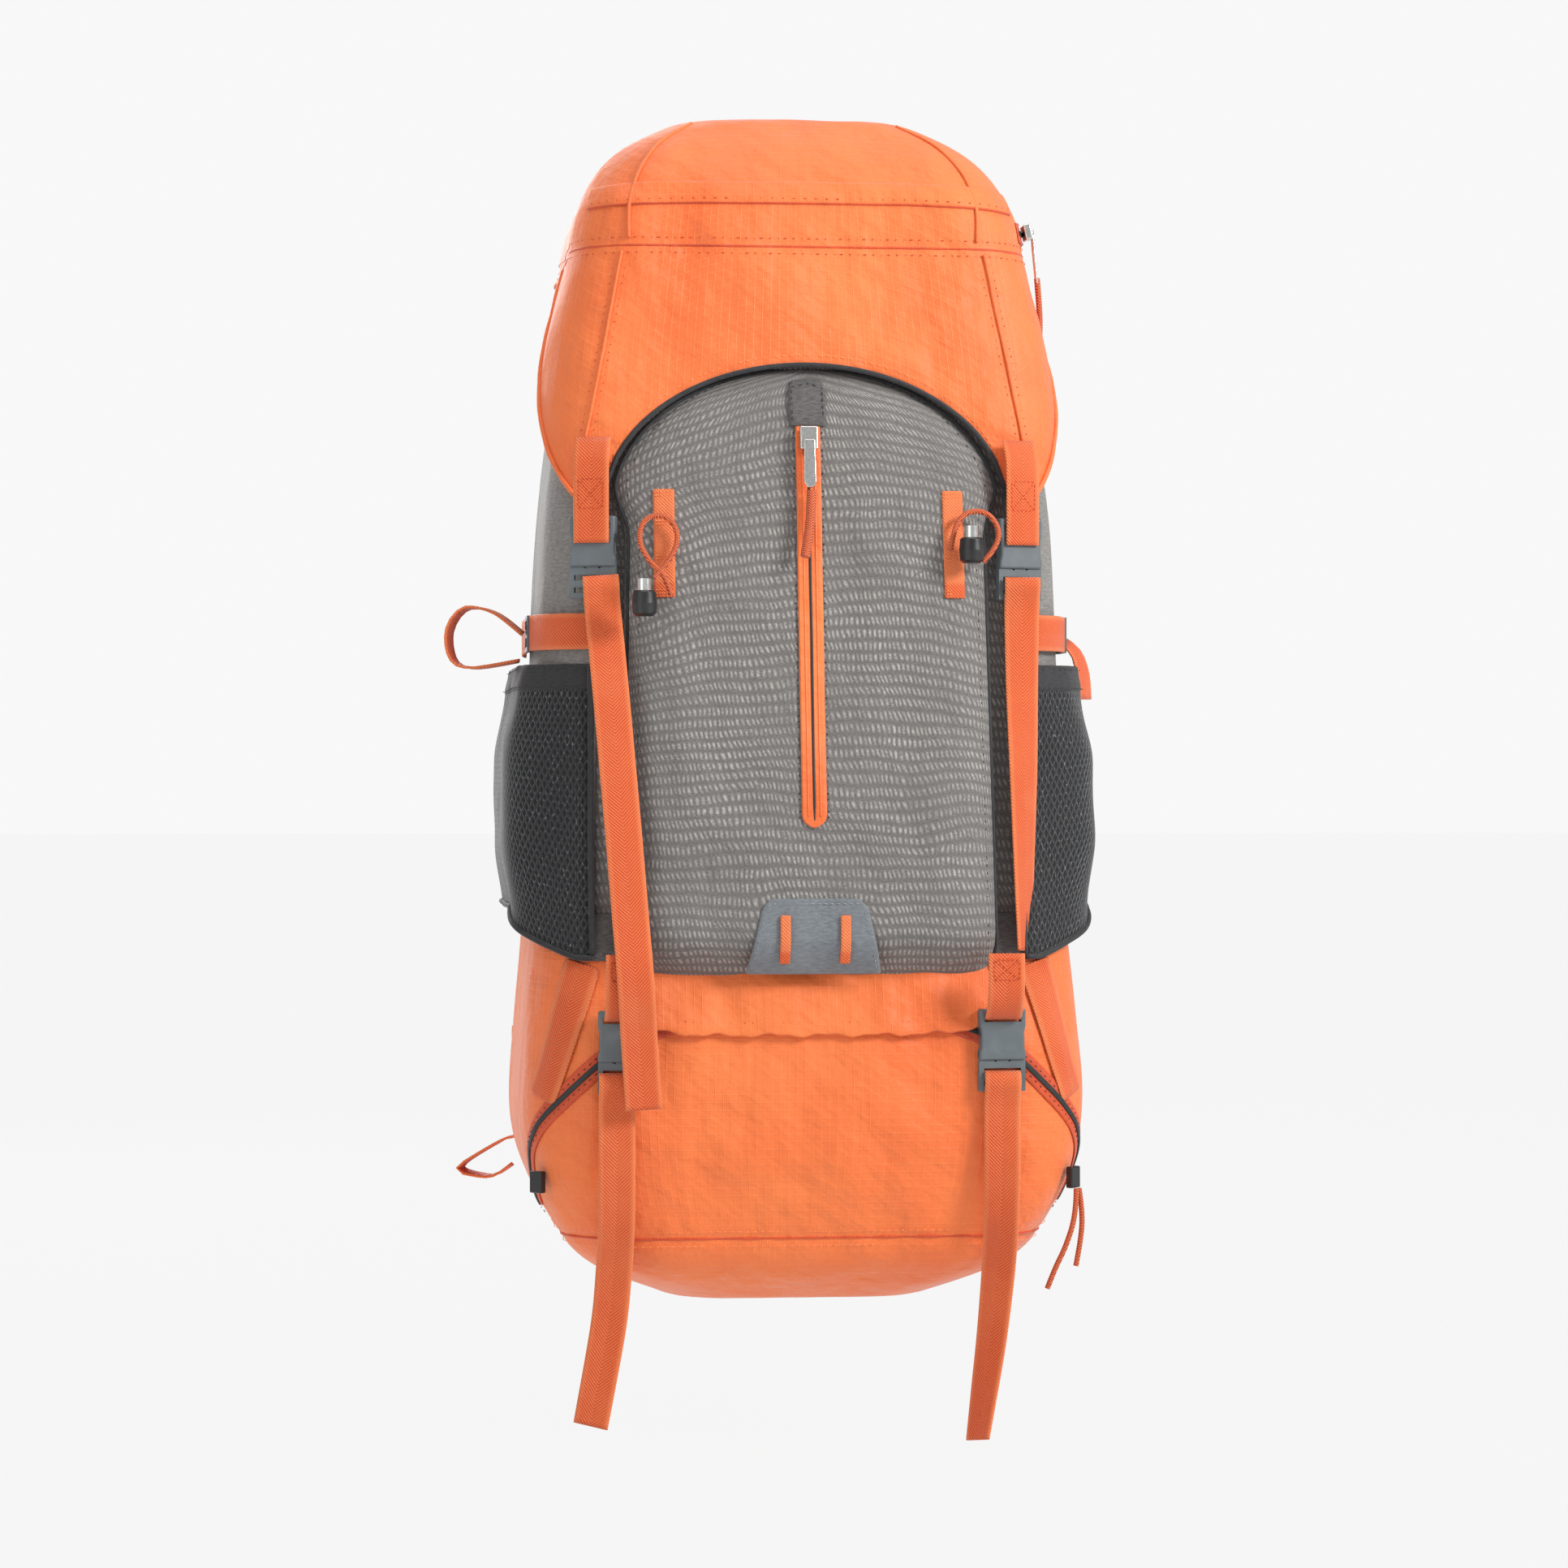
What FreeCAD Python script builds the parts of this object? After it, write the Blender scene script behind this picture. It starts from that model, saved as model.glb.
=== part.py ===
"""A 45 litre hiking backpack, built from its sewn panels, straps and hardware.

Millimetres, +Z up, the wearer's back at +Y and the front pocket at -Y. The pieces are drawn from the
middle of the base; the whole pack is then moved so that the haul loop, which it hangs by, is the origin.
"""
import FreeCAD, Part
import math
import os

import Sketcher

Vector = FreeCAD.Vector
doc = FreeCAD.newDocument("hiking_backpack")
sheet = doc.addObject("Spreadsheet::Sheet", "sizes")

SIZES = {
    "skin": 2.0,
    "gap": 0.4,
    "webbing_wide": 20.0,
    "webbing_thick": 1.6,
    "hip_webbing_wide": 38.0,
    "cord_thick": 3.0,
    "pull_cord_thick": 5.5,
    "back": 95.0,
    "pad_thick": 13.0,
    "strap_pad_wide": 62.0,
    "strap_pad_thick": 12.0,
    "hip_pad_tall": 96.0,
    "buckle_wide": 26.0,
    "buckle_thick": 7.0,
    "zip_wide": 14.0,
    "zip_thick": 1.6,
    "haul_y": 124.0,
    "haul_z": 548.0,
}

# Each station is a height and the plan outline there: half width, front, corner radius, back.
BAG = {
    "base": (0.0, 72.0, 62.0, 34.0, 80.0),
    "heel": (20.0, 116.0, 96.0, 40.0, 95.0),
    "seat": (52.0, 143.0, 112.0, 44.0, 95.0),
    "hip": (92.0, 156.0, 120.0, 46.0, 95.0),
    "waist": (150.0, 155.0, 121.0, 46.0, 95.0),
    "floor": (216.0, 150.0, 108.0, 44.0, 95.0),
    "chest": (340.0, 147.0, 98.0, 42.0, 95.0),
    "neck": (463.0, 140.0, 90.0, 42.0, 95.0),
    "brow": (566.0, 124.0, 78.0, 40.0, 95.0),
}
LID = {
    "wing": (448.0, 147.0, 96.0, 42.0, 98.0),
    "temple": (505.0, 145.5, 93.0, 42.0, 98.0),
    "seam": (582.0, 129.0, 84.0, 40.0, 98.0),
    "crown": (617.0, 121.0, 78.0, 40.0, 94.0),
    "slope": (646.0, 99.0, 58.0, 38.0, 80.0),
    "top": (664.0, 68.0, 34.0, 30.0, 58.0),
}
# The front pocket's corners are cut straight, and its back lies 1.2 in front of the front panel.
POCKET = {
    "pocket_foot": (182.0, 98.0, 130.0, 8.0, -115.9),
    "pocket_belly": (204.0, 104.0, 142.0, 12.0, -111.56),
    "pocket_low": (265.0, 103.0, 138.0, 12.0, -105.25),
    "pocket_high": (446.0, 100.0, 109.0, 8.0, -92.31),
    "pocket_arch": (490.0, 84.0, 102.0, 5.0, -88.05),
    "pocket_top": (514.0, 36.0, 96.0, 4.0, -85.26),
}
MESH = {
    "mesh_hem": (192.0, 153.0, 110.0, 46.0, 95.0),
    "mesh_low": (214.0, 160.0, 110.0, 50.0, 95.0),
    "mesh_belly": (256.0, 166.0, 108.0, 54.0, 95.0),
    "mesh_high": (300.0, 165.0, 106.0, 54.0, 95.0),
    "mesh_brim": (341.0, 157.0, 102.0, 50.0, 95.0),
}
for table in (BAG, LID, POCKET, MESH):
    for station, values in table.items():
        for word, value in zip(("high", "half", "front", "round", "back"), values):
            SIZES[f"{station}_{word}"] = value
for row, (alias, value) in enumerate(SIZES.items(), 1):
    sheet.set(f"A{row}", alias)
    sheet.set(f"B{row}", str(value))
    sheet.setAlias(f"B{row}", alias)
doc.recompute()

nodes = []


def node(thing, name):
    """Keep a document object as a sub-part under its own label."""
    thing.Label = name
    nodes.append(thing)
    return thing


def sketch_on(body, name, role):
    """An empty sketch on one of the body's own origin planes."""
    sketch = body.newObject("Sketcher::SketchObject", name)
    plane = next(f for f in body.Origin.OriginFeatures if f.Role == role)
    sketch.AttachmentSupport = (plane, [""])
    sketch.MapMode = "FlatFace"
    return sketch


def outline(sketch, points):
    """A closed outline of straight edges."""
    corners = [Vector(a, b, 0) for a, b in points]
    first = sketch.GeometryCount
    count = len(corners)
    for start, end in zip(corners, corners[1:] + corners[:1]):
        sketch.addGeometry(Part.LineSegment(start, end), False)
    for i in range(count):
        sketch.addConstraint(Sketcher.Constraint("Coincident", first + i, 2, first + (i + 1) % count, 1))


def block(left, low, right, high):
    """The corners of a rectangle."""
    return [(left, low), (right, low), (right, high), (left, high)]


def padded(name, role, outlines, length, both=True):
    """A body whose sketch holds one outline, or more where the later ones are holes, padded to length."""
    body = doc.addObject("PartDesign::Body", name)
    sketch = sketch_on(body, name + "_sketch", role)
    for points in outlines:
        outline(sketch, points)
    pad = body.newObject("PartDesign::Pad", name + "_pad")
    pad.Profile = sketch
    pad.SideType = "Symmetric" if both else "One side"
    pad.setExpression("Length", length)
    return body


def softened(body, radius):
    """Round every edge of what the body holds so far."""
    doc.recompute()
    base = body.Tip
    fillet = body.newObject("PartDesign::Fillet", body.Name + "_fillet")
    fillet.Base = (base, [f"Edge{i + 1}" for i in range(len(base.Shape.Edges))])
    fillet.Radius = radius
    return body


def pocketed(body, name, role, outlines, length):
    """Cut outlines through the body, evenly both ways from the plane."""
    sketch = sketch_on(body, name + "_sketch", role)
    for points in outlines:
        outline(sketch, points)
    pocket = body.newObject("PartDesign::Pocket", name)
    pocket.Profile = sketch
    pocket.SideType = "Symmetric"
    pocket.setExpression("Length", length)
    return body


def ring(body, station, grow, lift=0.0):
    """The plan outline at a station, grown outwards: four sides and four round corners."""
    words = ("half", "front", "round", "back")
    half, front, bend, rear = (SIZES[f"{station}_{word}"] + grow for word in words)
    sketch = sketch_on(body, f"{body.Name}_{station}", "XY_Plane")
    sketch.setExpression("AttachmentOffset.Base.z", f"sizes.{station}_high + {lift}")
    sides = [
        ((bend - half, -front), (half - bend, -front)),
        ((half, bend - front), (half, rear - bend)),
        ((half - bend, rear), (bend - half, rear)),
        ((-half, rear - bend), (-half, bend - front)),
    ]
    middles = [(half - bend, bend - front), (half - bend, rear - bend), (bend - half, rear - bend),
               (bend - half, bend - front)]
    for k in range(4):
        (ax, ay), (bx, by) = sides[k]
        sketch.addGeometry(Part.LineSegment(Vector(ax, ay, 0), Vector(bx, by, 0)), False)
        circle = Part.Circle(Vector(*middles[k], 0), Vector(0, 0, 1), bend)
        start = (k - 1) * math.pi / 2
        sketch.addGeometry(Part.ArcOfCircle(circle, start, start + math.pi / 2), False)
    for k in range(8):
        sketch.addConstraint(Sketcher.Constraint("Tangent", k, 2, (k + 1) % 8, 1))
    for k, way in ((0, "Horizontal"), (2, "Vertical"), (4, "Horizontal"), (6, "Vertical")):
        sketch.addConstraint(Sketcher.Constraint(way, k))
    for k in (3, 5, 7):
        sketch.addConstraint(Sketcher.Constraint("Equal", 1, k))
    bound = [
        (("Radius", 1), bend, f"sizes.{station}_round + {grow}"),
        (("DistanceX", -1, 1, 2, 1), half, f"sizes.{station}_half + {grow}"),
        (("DistanceX", 6, 1, -1, 1), half, f"sizes.{station}_half + {grow}"),
        (("DistanceY", 0, 1, -1, 1), front, f"sizes.{station}_front + {grow}"),
        (("DistanceY", -1, 1, 4, 1), rear, f"sizes.{station}_back + {grow}"),
    ]
    for constraint, size, expression in bound:
        index = sketch.addConstraint(Sketcher.Constraint(*constraint, size))
        sketch.setExpression(f"Constraints[{index}]", expression)
    return sketch


def lofted(name, stations, grow, lifts=None):
    """A solid through the plan outlines of the stations, grown by the same amount."""
    body = doc.addObject("PartDesign::Body", name)
    lifts = lifts or {}
    rings = [ring(body, station, grow, lifts.get(station, 0.0)) for station in stations]
    loft = body.newObject("PartDesign::AdditiveLoft", name + "_loft")
    loft.Profile = rings[0]
    loft.Sections = rings[1:]
    loft.Ruled = True
    return body


def cut(name, base, tool):
    """What is left of base outside tool."""
    result = doc.addObject("Part::Cut", name)
    result.Base = base
    result.Tool = tool
    return result


def common(name, base, tool):
    """What base and tool share."""
    result = doc.addObject("Part::Common", name)
    result.Base = base
    result.Tool = tool
    return result


def box(name, low, high):
    """A box between two corners."""
    result = doc.addObject("Part::Box", name)
    result.Length = high[0] - low[0]
    result.Width = high[1] - low[1]
    result.Height = high[2] - low[2]
    result.Placement.Base = Vector(*low)
    return result


def group(name, things):
    """Several separate solids that make one sub-part."""
    result = doc.addObject("Part::Compound", name)
    result.Links = things
    return node(result, name)


def placed(thing, base, turn=0.0, axis=(0, 0, 1)):
    """Put a body at a point, turned about an axis through its own origin."""
    thing.Placement = FreeCAD.Placement(Vector(*base), FreeCAD.Rotation(Vector(*axis), turn))
    return thing


def thickened(path, thick):
    """The outline of a strap of even thickness along a path, with mitred corners."""
    sides = []
    for sign in (1, -1):
        side = []
        for i, (a, b) in enumerate(path):
            before = path[max(i - 1, 0)]
            after = path[min(i + 1, len(path) - 1)]
            into = Vector(a - before[0], b - before[1], 0)
            out = Vector(after[0] - a, after[1] - b, 0)
            into = out if into.Length == 0 else into
            out = into if out.Length == 0 else out
            into.normalize()
            out.normalize()
            normal = Vector(-into.y - out.y, into.x + out.x, 0)
            normal.normalize()
            reach = sign * thick / 2 / max(normal.dot(Vector(-into.y, into.x, 0)), 0.5)
            side.append((a + normal.x * reach, b + normal.y * reach))
        sides.append(side)
    return sides[0] + sides[1][::-1]


def strap(name, role, path, across=0.0, wide="sizes.webbing_wide", thick=None):
    """A flat strap whose path lies in a plane of its body, its width square to that plane."""
    thick = SIZES["webbing_thick"] if thick is None else thick
    body = padded(name, role, [thickened(path, thick)], wide)
    shift = {"XZ_Plane": (0, across, 0), "YZ_Plane": (across, 0, 0), "XY_Plane": (0, 0, across)}[role]
    return placed(body, shift)


def tube(name, route, thick):
    """A cord along hand-chosen points: straight runs joined by arcs as large as their runs allow."""
    points = [Vector(*p) for p in route]
    edges = []
    at = points[0]
    radii = []
    for before, corner, after in zip(points, points[1:], points[2:]):
        into = corner - before
        out = after - corner
        turn = into.getAngle(out)
        run = 0.45 * min(into.Length, out.Length)
        radii.append(run / math.tan(turn / 2))
        into.normalize()
        out.normalize()
        start = corner - into * run
        end = corner + out * run
        inwards = out - into
        inwards.normalize()
        middle = corner + inwards * (radii[-1] / math.cos(turn / 2) - radii[-1])
        edges.append(Part.LineSegment(at, start).toShape())
        edges.append(Part.Arc(start, middle, end).toShape())
        at = end
    edges.append(Part.LineSegment(at, points[-1]).toShape())
    wire = Part.Wire(edges)
    way = points[1] - points[0]
    way.normalize()
    circle = Part.Wire([Part.Circle(points[0], way, thick / 2).toShape()])
    shape = wire.makePipeShell([circle], True, False)
    volume = math.pi * thick ** 2 / 4 * wire.Length
    print(f"{name}: {wire.Length:.0f} mm, radii {[round(r, 1) for r in radii]}, "
          f"volume {shape.Volume / volume:.3f} of section times length")
    result = doc.addObject("Part::Feature", name)
    result.Shape = shape
    return node(result, name)


# ---------------------------------------------------------------- the bag's sewn panels
def make_bag():
    """The lower compartment and the four panels of the main compartment."""
    low = ["base", "heel", "seat", "hip", "waist", "floor"]
    high = ["floor", "chest", "neck", "brow"]
    skin = SIZES["skin"]
    node(cut("lower_shell", lofted("lower_outside", low, 0.0),
             lofted("lower_inside", low, -skin, {"base": skin, "floor": 1.0})), "lower_compartment")
    walls = cut("walls", lofted("main_outside", high, 0.0, {"floor": 0.5}),
                lofted("main_inside", high, -skin, {"floor": -1.0, "brow": 1.0}))
    panels = {
        "front_panel": ((-104, -130, 200), (104, -20, 600)),
        "side_panel_left": ((-200, -130, 200), (-104, 130, 600)),
        "side_panel_right": ((104, -130, 200), (200, 130, 600)),
        "back_panel": ((-104, -20, 200), (104, 130, 600)),
    }
    for name, (near, far) in panels.items():
        node(common(name, walls, box(name + "_cut", near, far)), name)
    edge = [(-130, -86), (-110, -100), (110, -100), (130, -86), (130, 84), (120, 90), (-120, 90), (-130, 84)]
    divider = placed(padded("divider", "XY_Plane", [edge], "sizes.skin"), (0, 0, SIZES["floor_high"] + 8))
    node(divider, "compartment_divider")


def make_frame():
    """The plastic sheet and the two aluminium stays inside the back."""
    outer = [(-100, 232), (100, 232), (104, 242), (104, 440), (84, 548), (-84, 548), (-104, 440), (-104, 242)]
    sheet_body = padded("frame_sheet_body", "XZ_Plane", [outer], "sizes.skin - 0.4")
    node(placed(sheet_body, (0, SIZES["back"] - 5, 0)), "frame_sheet")
    stays = []
    for side in (-1, 1):
        stay = padded(f"stay_{side + 1}", "XZ_Plane", [block(-12, 245, 12, 535)], "sizes.skin + 0.5")
        stays.append(placed(stay, (side * 58, SIZES["back"] - 7.6, 0)))
    group("frame_stays", stays)


def make_collar():
    """The drawcord collar at the mouth, its drawcord lying round it."""
    corners = [(108, -62), (114, -50), (114, 70), (104, 82), (-104, 82), (-114, 70), (-114, -50), (-108, -62)]
    solids = []
    for name, inset, low, tall in (("collar_outside", 0.0, 550, "46"), ("collar_inside", 1.6, 548, "50")):
        points = [(x - math.copysign(inset, x), y - math.copysign(inset, y)) for x, y in corners]
        solids.append(placed(padded(name, "XY_Plane", [points], tall, False), (0, 0, low)))
    node(cut("collar_ring", *solids), "collar")
    route = [(-47.5, -47, 594), (-50, -54, 600), (-42, -63, 600), (-28, -67, 592), (0, -66.5, 589),
             (60, -65.5, 590), (110, -68, 590), (121, -52, 590), (118, 0, 589), (119, 50, 590), (118.5, 72, 590),
             (105, 87.5, 590), (50, 86.5, 589), (0, 86, 590), (-50, 86.5, 589), (-105, 87.5, 590),
             (-118.5, 72, 590), (-119, 50, 590), (-118, 0, 589), (-121, -52, 590), (-110, -68, 590),
             (-88, -67, 592), (-74, -63, 600), (-66, -54, 600), (-66.5, -47, 594)]
    tube("drawcord", route, SIZES["cord_thick"])


# Each side-release buckle: the middle of its mouth, and its turn about the vertical.
BUCKLES = {
    "top_buckle_left": ((-118, -99.6, 407), -17),
    "top_buckle_right": ((118, -99.6, 407), 17),
    "lower_buckle_left": ((-104, -128, 137), -6),
    "lower_buckle_right": ((104, -128, 137), 6),
}


# ---------------------------------------------------------------- the lid
def make_lid():
    """The hood: a domed shell with a bib and two wings that come down over the front corners."""
    stations = list(LID)
    skin = SIZES["skin"]
    shell = cut("hood_shell", lofted("hood_outside", stations, 0.0),
                lofted("hood_inside", stations, -skin, {"wing": -1.0, "top": -skin}))
    wing_cut = padded("wing_cut", "YZ_Plane", [[(-93, 440), (130, 440), (130, 579), (-16, 579)]], "400")
    arch = doc.addObject("Part::Ellipse", "arch")
    arch.MajorRadius = 112
    arch.MinorRadius = 80
    arch.Placement = FreeCAD.Placement(Vector(0, -60, 440), FreeCAD.Rotation(Vector(1, 0, 0), 90))
    arch_cut = doc.addObject("Part::Extrusion", "arch_cut")
    arch_cut.Base = arch
    arch_cut.Dir = Vector(0, -60, 0)
    arch_cut.Solid = True
    node(cut("hood", cut("hood_winged", shell, wing_cut), arch_cut), "lid_hood")
    tape = padded("lid_zip_tape", "YZ_Plane", [block(-62, -6, 62, 6)], "sizes.zip_thick")
    node(placed(tape, (127.2, 4, 599), -13, (0, 1, 0)), "lid_zip")
    slider = softened(padded("lid_slider_body", "YZ_Plane", [block(-6, -4.5, 6, 4.5)], "4.4"), 0.9)
    node(placed(slider, (130.5, -50, 599.9), -13, (0, 1, 0)), "lid_zip_slider")
    tabs = []
    for side in (-1, 1):
        tab = strap(f"lid_tab_{side + 1}", "YZ_Plane", [(0.5, 71), (-5.0, 58), (-5.0, 13)])
        tabs.append(placed(tab, *BUCKLES[f"top_buckle_{'left' if side < 0 else 'right'}"]))
    group("lid_tabs", tabs)


# ---------------------------------------------------------------- side-release buckles
def socket(name, base, turn):
    """The socket half: two plates joined at the far end, with a bar that the webbing goes round."""
    shape = [(-13, 0), (13, 0), (13, 4), (12.2, 7), (12.2, 15), (13, 19), (13, 28), (-13, 28), (-13, 19),
             (-12.2, 15), (-12.2, 7), (-13, 4)]
    body = softened(padded(name + "_body", "XZ_Plane", [shape], "sizes.buckle_thick"), 1.4)
    pocketed(body, name + "_mouth", "YZ_Plane", [block(-2.3, -1, 2.3, 18)], "30")
    pocketed(body, name + "_slot", "XZ_Plane", [block(-10.4, 21, 10.4, 24.4)], "20")
    return node(placed(body, base, turn), name)


def prongs(name, base, turn):
    """The prong half: an adjuster with two slots, a centre guide and two springy arms."""
    shape = [(-13, -17), (13, -17), (13, -1), (12.4, 3), (12.4, 13), (9, 16.5), (7, 16), (7.5, 1), (3.4, -1),
             (3, 16), (-3, 16), (-3.4, -1), (-7.5, 1), (-7, 16), (-9, 16.5), (-12.4, 13), (-12.4, 3),
             (-13, -1)]
    slots = [block(-10.4, -7.4, 10.4, -4.4), block(-10.4, -14.2, 10.4, -11.2)]
    return placed(padded(name + "_body", "XZ_Plane", [shape, *slots], "4"), base, turn)


def make_buckles():
    """Four side-release buckles: the sockets slide off along their straps, the prong halves stay."""
    for name, where in BUCKLES.items():
        socket(name, *where)
    group("buckle_prongs", [prongs(name + "_prongs", *where) for name, where in BUCKLES.items()])


def ladder(name, base, turn):
    """A three-bar webbing adjuster."""
    frame = [block(-13, -10, 13, 10), block(-10.4, -7.4, 10.4, -2.2), block(-10.4, 2.2, 10.4, 7.4)]
    return placed(padded(name, "XZ_Plane", frame, "3.4"), base, turn)


def make_webbing():
    """The flat straps that are sewn to the front and the sides, with their adjusters."""
    left = [(-107.2, 402), (-108, 396), (-104.5, 386), (-113, 366), (-124, 330), (-134, 286), (-140.5, 255),
            (-146, 212), (-150, 192), (-149, 172), (-143, 150), (-140, 112)]
    body = strap("top_tail_left_body", "YZ_Plane", left)
    node(placed(body, (-114.5 + 402 * math.sin(math.radians(4.2)), 0, 0), 4.2, (0, -1, 0)),
         "top_strap_left")
    right = [(-107.2, 402), (-108, 396), (-104.5, 386), (-104.5, 345), (-109.5, 300), (-111.6, 256),
             (-113.4, 210), (-114.4, 196)]
    node(strap("top_tail_right_body", "YZ_Plane", right, 119), "top_strap_right")
    hang_left = [(-132, 133), (-135, 128), (-131, 112), (-131, 80), (-127, 50), (-116, 20), (-111, -10),
                 (-108, -63)]
    node(strap("lower_left_body", "YZ_Plane", hang_left, -107), "lower_strap_left")
    hang_right = [(-132, 133), (-135, 128), (-131, 112), (-131, 80), (-127, 50), (-116, 20), (-112, -16),
                  (-114, -48), (-120, -72)]
    node(strap("lower_right_body", "YZ_Plane", hang_right, 104), "lower_strap_right")
    tabs = []
    for side in (-1, 1):
        tabs.append(strap(f"lower_tab_{side + 1}", "YZ_Plane", [(-146.5, 196), (-146, 176), (-133.6, 160)],
                          side * 104))
    group("lower_tabs", tabs)
    strips = []
    for side in (-1, 1):
        path = [(-110.0, 450), (-110.6, 446), (-119.3, 392)]
        strips.append(strap(f"daisy_{side + 1}", "YZ_Plane", path, side * 80, "12"))
    group("daisy_strips", strips)
    sides = []
    for side in (-1, 1):
        front = [(side * 112, -98.6), (side * 130, -91.5), (side * 143, -79), (side * 150.5, -57)]
        rear = [(side * 150.5, -29), (side * 149.8, 50), (side * 147, 78)]
        bight = {-1: [(-153.8, 372), (-170, 384), (-186, 386), (-195, 374), (-193, 358), (-182, 353),
                      (-156, 357)],
                 1: [(154, 368), (160, 362), (164, 350), (165, 336)]}[side]
        sides.append(strap(f"compression_front_{side + 1}", "XY_Plane", front, 372))
        sides.append(strap(f"compression_rear_{side + 1}", "XY_Plane", rear, 372))
        sides.append(strap(f"compression_tail_{side + 1}", "XZ_Plane", bight, -43))
    group("compression_straps", sides)
    locks = []
    for side in (-1, 1):
        locks.append(ladder(f"side_lock_{side + 1}", (side * 150.6, -43, 372), 90))
        locks.append(ladder(f"shoulder_lock_{side + 1}", (side * 66, 152, 238), 0))
    group("ladder_locks", locks)


def make_diagonals():
    """Webbing that runs down each lower corner, laid on the compartment's curved wall."""
    low = ["seat", "hip", "waist", "floor"]
    outer = lofted("diagonal_outside", low, SIZES["gap"] + SIZES["webbing_thick"])
    inner = lofted("diagonal_inside", low, SIZES["gap"], {"seat": -1.0, "floor": 1.0})
    skin = cut("diagonal_skin", outer, inner)
    for side, word in ((-1, "left"), (1, "right")):
        edge = [(side * 118, 186), (side * 138, 186), (side * 156, 118), (side * 136, 118)]
        band = placed(padded(f"diagonal_{word}", "XZ_Plane", [edge], "60"), (0, -100, 0))
        node(common(f"diagonal_{word}_band", skin, band), f"diagonal_strap_{word}")


# ---------------------------------------------------------------- front pocket, zips and cords
def make_pocket():
    """The front pocket, its straight zip with slider and pull, and the patch at its foot."""
    body = doc.addObject("PartDesign::Body", "pocket_body")
    rings = [pocket_ring(body, station) for station in POCKET]
    loft = body.newObject("PartDesign::AdditiveLoft", "pocket_loft")
    loft.Profile = rings[0]
    loft.Sections = rings[1:]
    loft.Ruled = True
    node(body, "front_pocket")
    rise = SIZES["pocket_high_high"] - SIZES["pocket_low_high"]
    lean = math.degrees(math.atan2(SIZES["pocket_low_front"] - SIZES["pocket_high_front"], rise))
    tape = [(-104.3, 483), (-139.3, 265)]
    node(strap("front_tape", "YZ_Plane", tape, 0.0, "sizes.zip_wide", SIZES["zip_thick"]), "front_zip")
    slider = softened(padded("front_slider_body", "XZ_Plane", [block(-5, -6.5, 5, 6.5)], "4.2"), 0.9)
    node(placed(slider, (0, -108.8, 478), -lean, (1, 0, 0)), "front_zip_slider")
    tab = softened(padded("front_tab_body", "XZ_Plane",
                          [[(-3, 0), (3, 0), (3.4, -24), (1.5, -27), (-1.5, -27), (-3.4, -24)]], "1.6"), 0.5)
    node(placed(tab, (0, -112.4, 477), -lean, (1, 0, 0)), "front_zip_tab")
    tube("front_zip_pull", [(0.5, -117.4, 448.6), (0.2, -118.6, 437), (-1.4, -120.8, 424), (-3.6, -123.2, 412)],
         SIZES["pull_cord_thick"])
    patch = [(-27, 226), (27, 226), (29, 222), (37, 186), (-37, 186), (-29, 222)]
    body = padded("patch_body", "XZ_Plane", [patch], "1.2")
    node(placed(body, (0, -143.2, 0)), "wear_patch")


def pocket_ring(body, station):
    """The pocket's plan outline at a station, its back lying along the front panel."""
    half = SIZES[f"{station}_half"]
    front = SIZES[f"{station}_front"]
    rear = SIZES[f"{station}_back"]
    bend = SIZES[f"{station}_round"]
    sketch = sketch_on(body, f"{body.Name}_{station}", "XY_Plane")
    sketch.setExpression("AttachmentOffset.Base.z", f"sizes.{station}_high")
    outline(sketch, [(-half, rear), (-half, bend - front), (bend - half, -front), (half - bend, -front),
                     (half, bend - front), (half, rear)])
    return sketch


def make_lower_zip():
    """The curved zip of the lower compartment with two sliders at its ends."""
    low = ["seat", "hip", "waist", "floor"]
    outer = lofted("zip_outside", low, SIZES["gap"] + SIZES["zip_thick"])
    inner = lofted("zip_inside", low, SIZES["gap"], {"seat": -1.0, "floor": 1.0})
    skin = cut("zip_skin", outer, inner)
    path = [(-151, 56), (-151, 84), (-136, 104), (-108, 118), (0, 121), (108, 118), (136, 104), (151, 84),
            (151, 56)]
    band = placed(padded("zip_band", "XZ_Plane", [thickened(path, 9)], "64"), (0, -100, 0))
    node(common("lower_zip_tape", skin, band), "lower_zip")
    for side, word in ((-1, "left"), (1, "right")):
        slider = padded(f"lower_slider_{word}_body", "XZ_Plane", [block(-4.5, -6, 4.5, 6)], "4.2")
        node(placed(softened(slider, 0.9), (side * 148.5, -100.0, 70), side * 48), f"lower_zip_slider_{word}")


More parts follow.
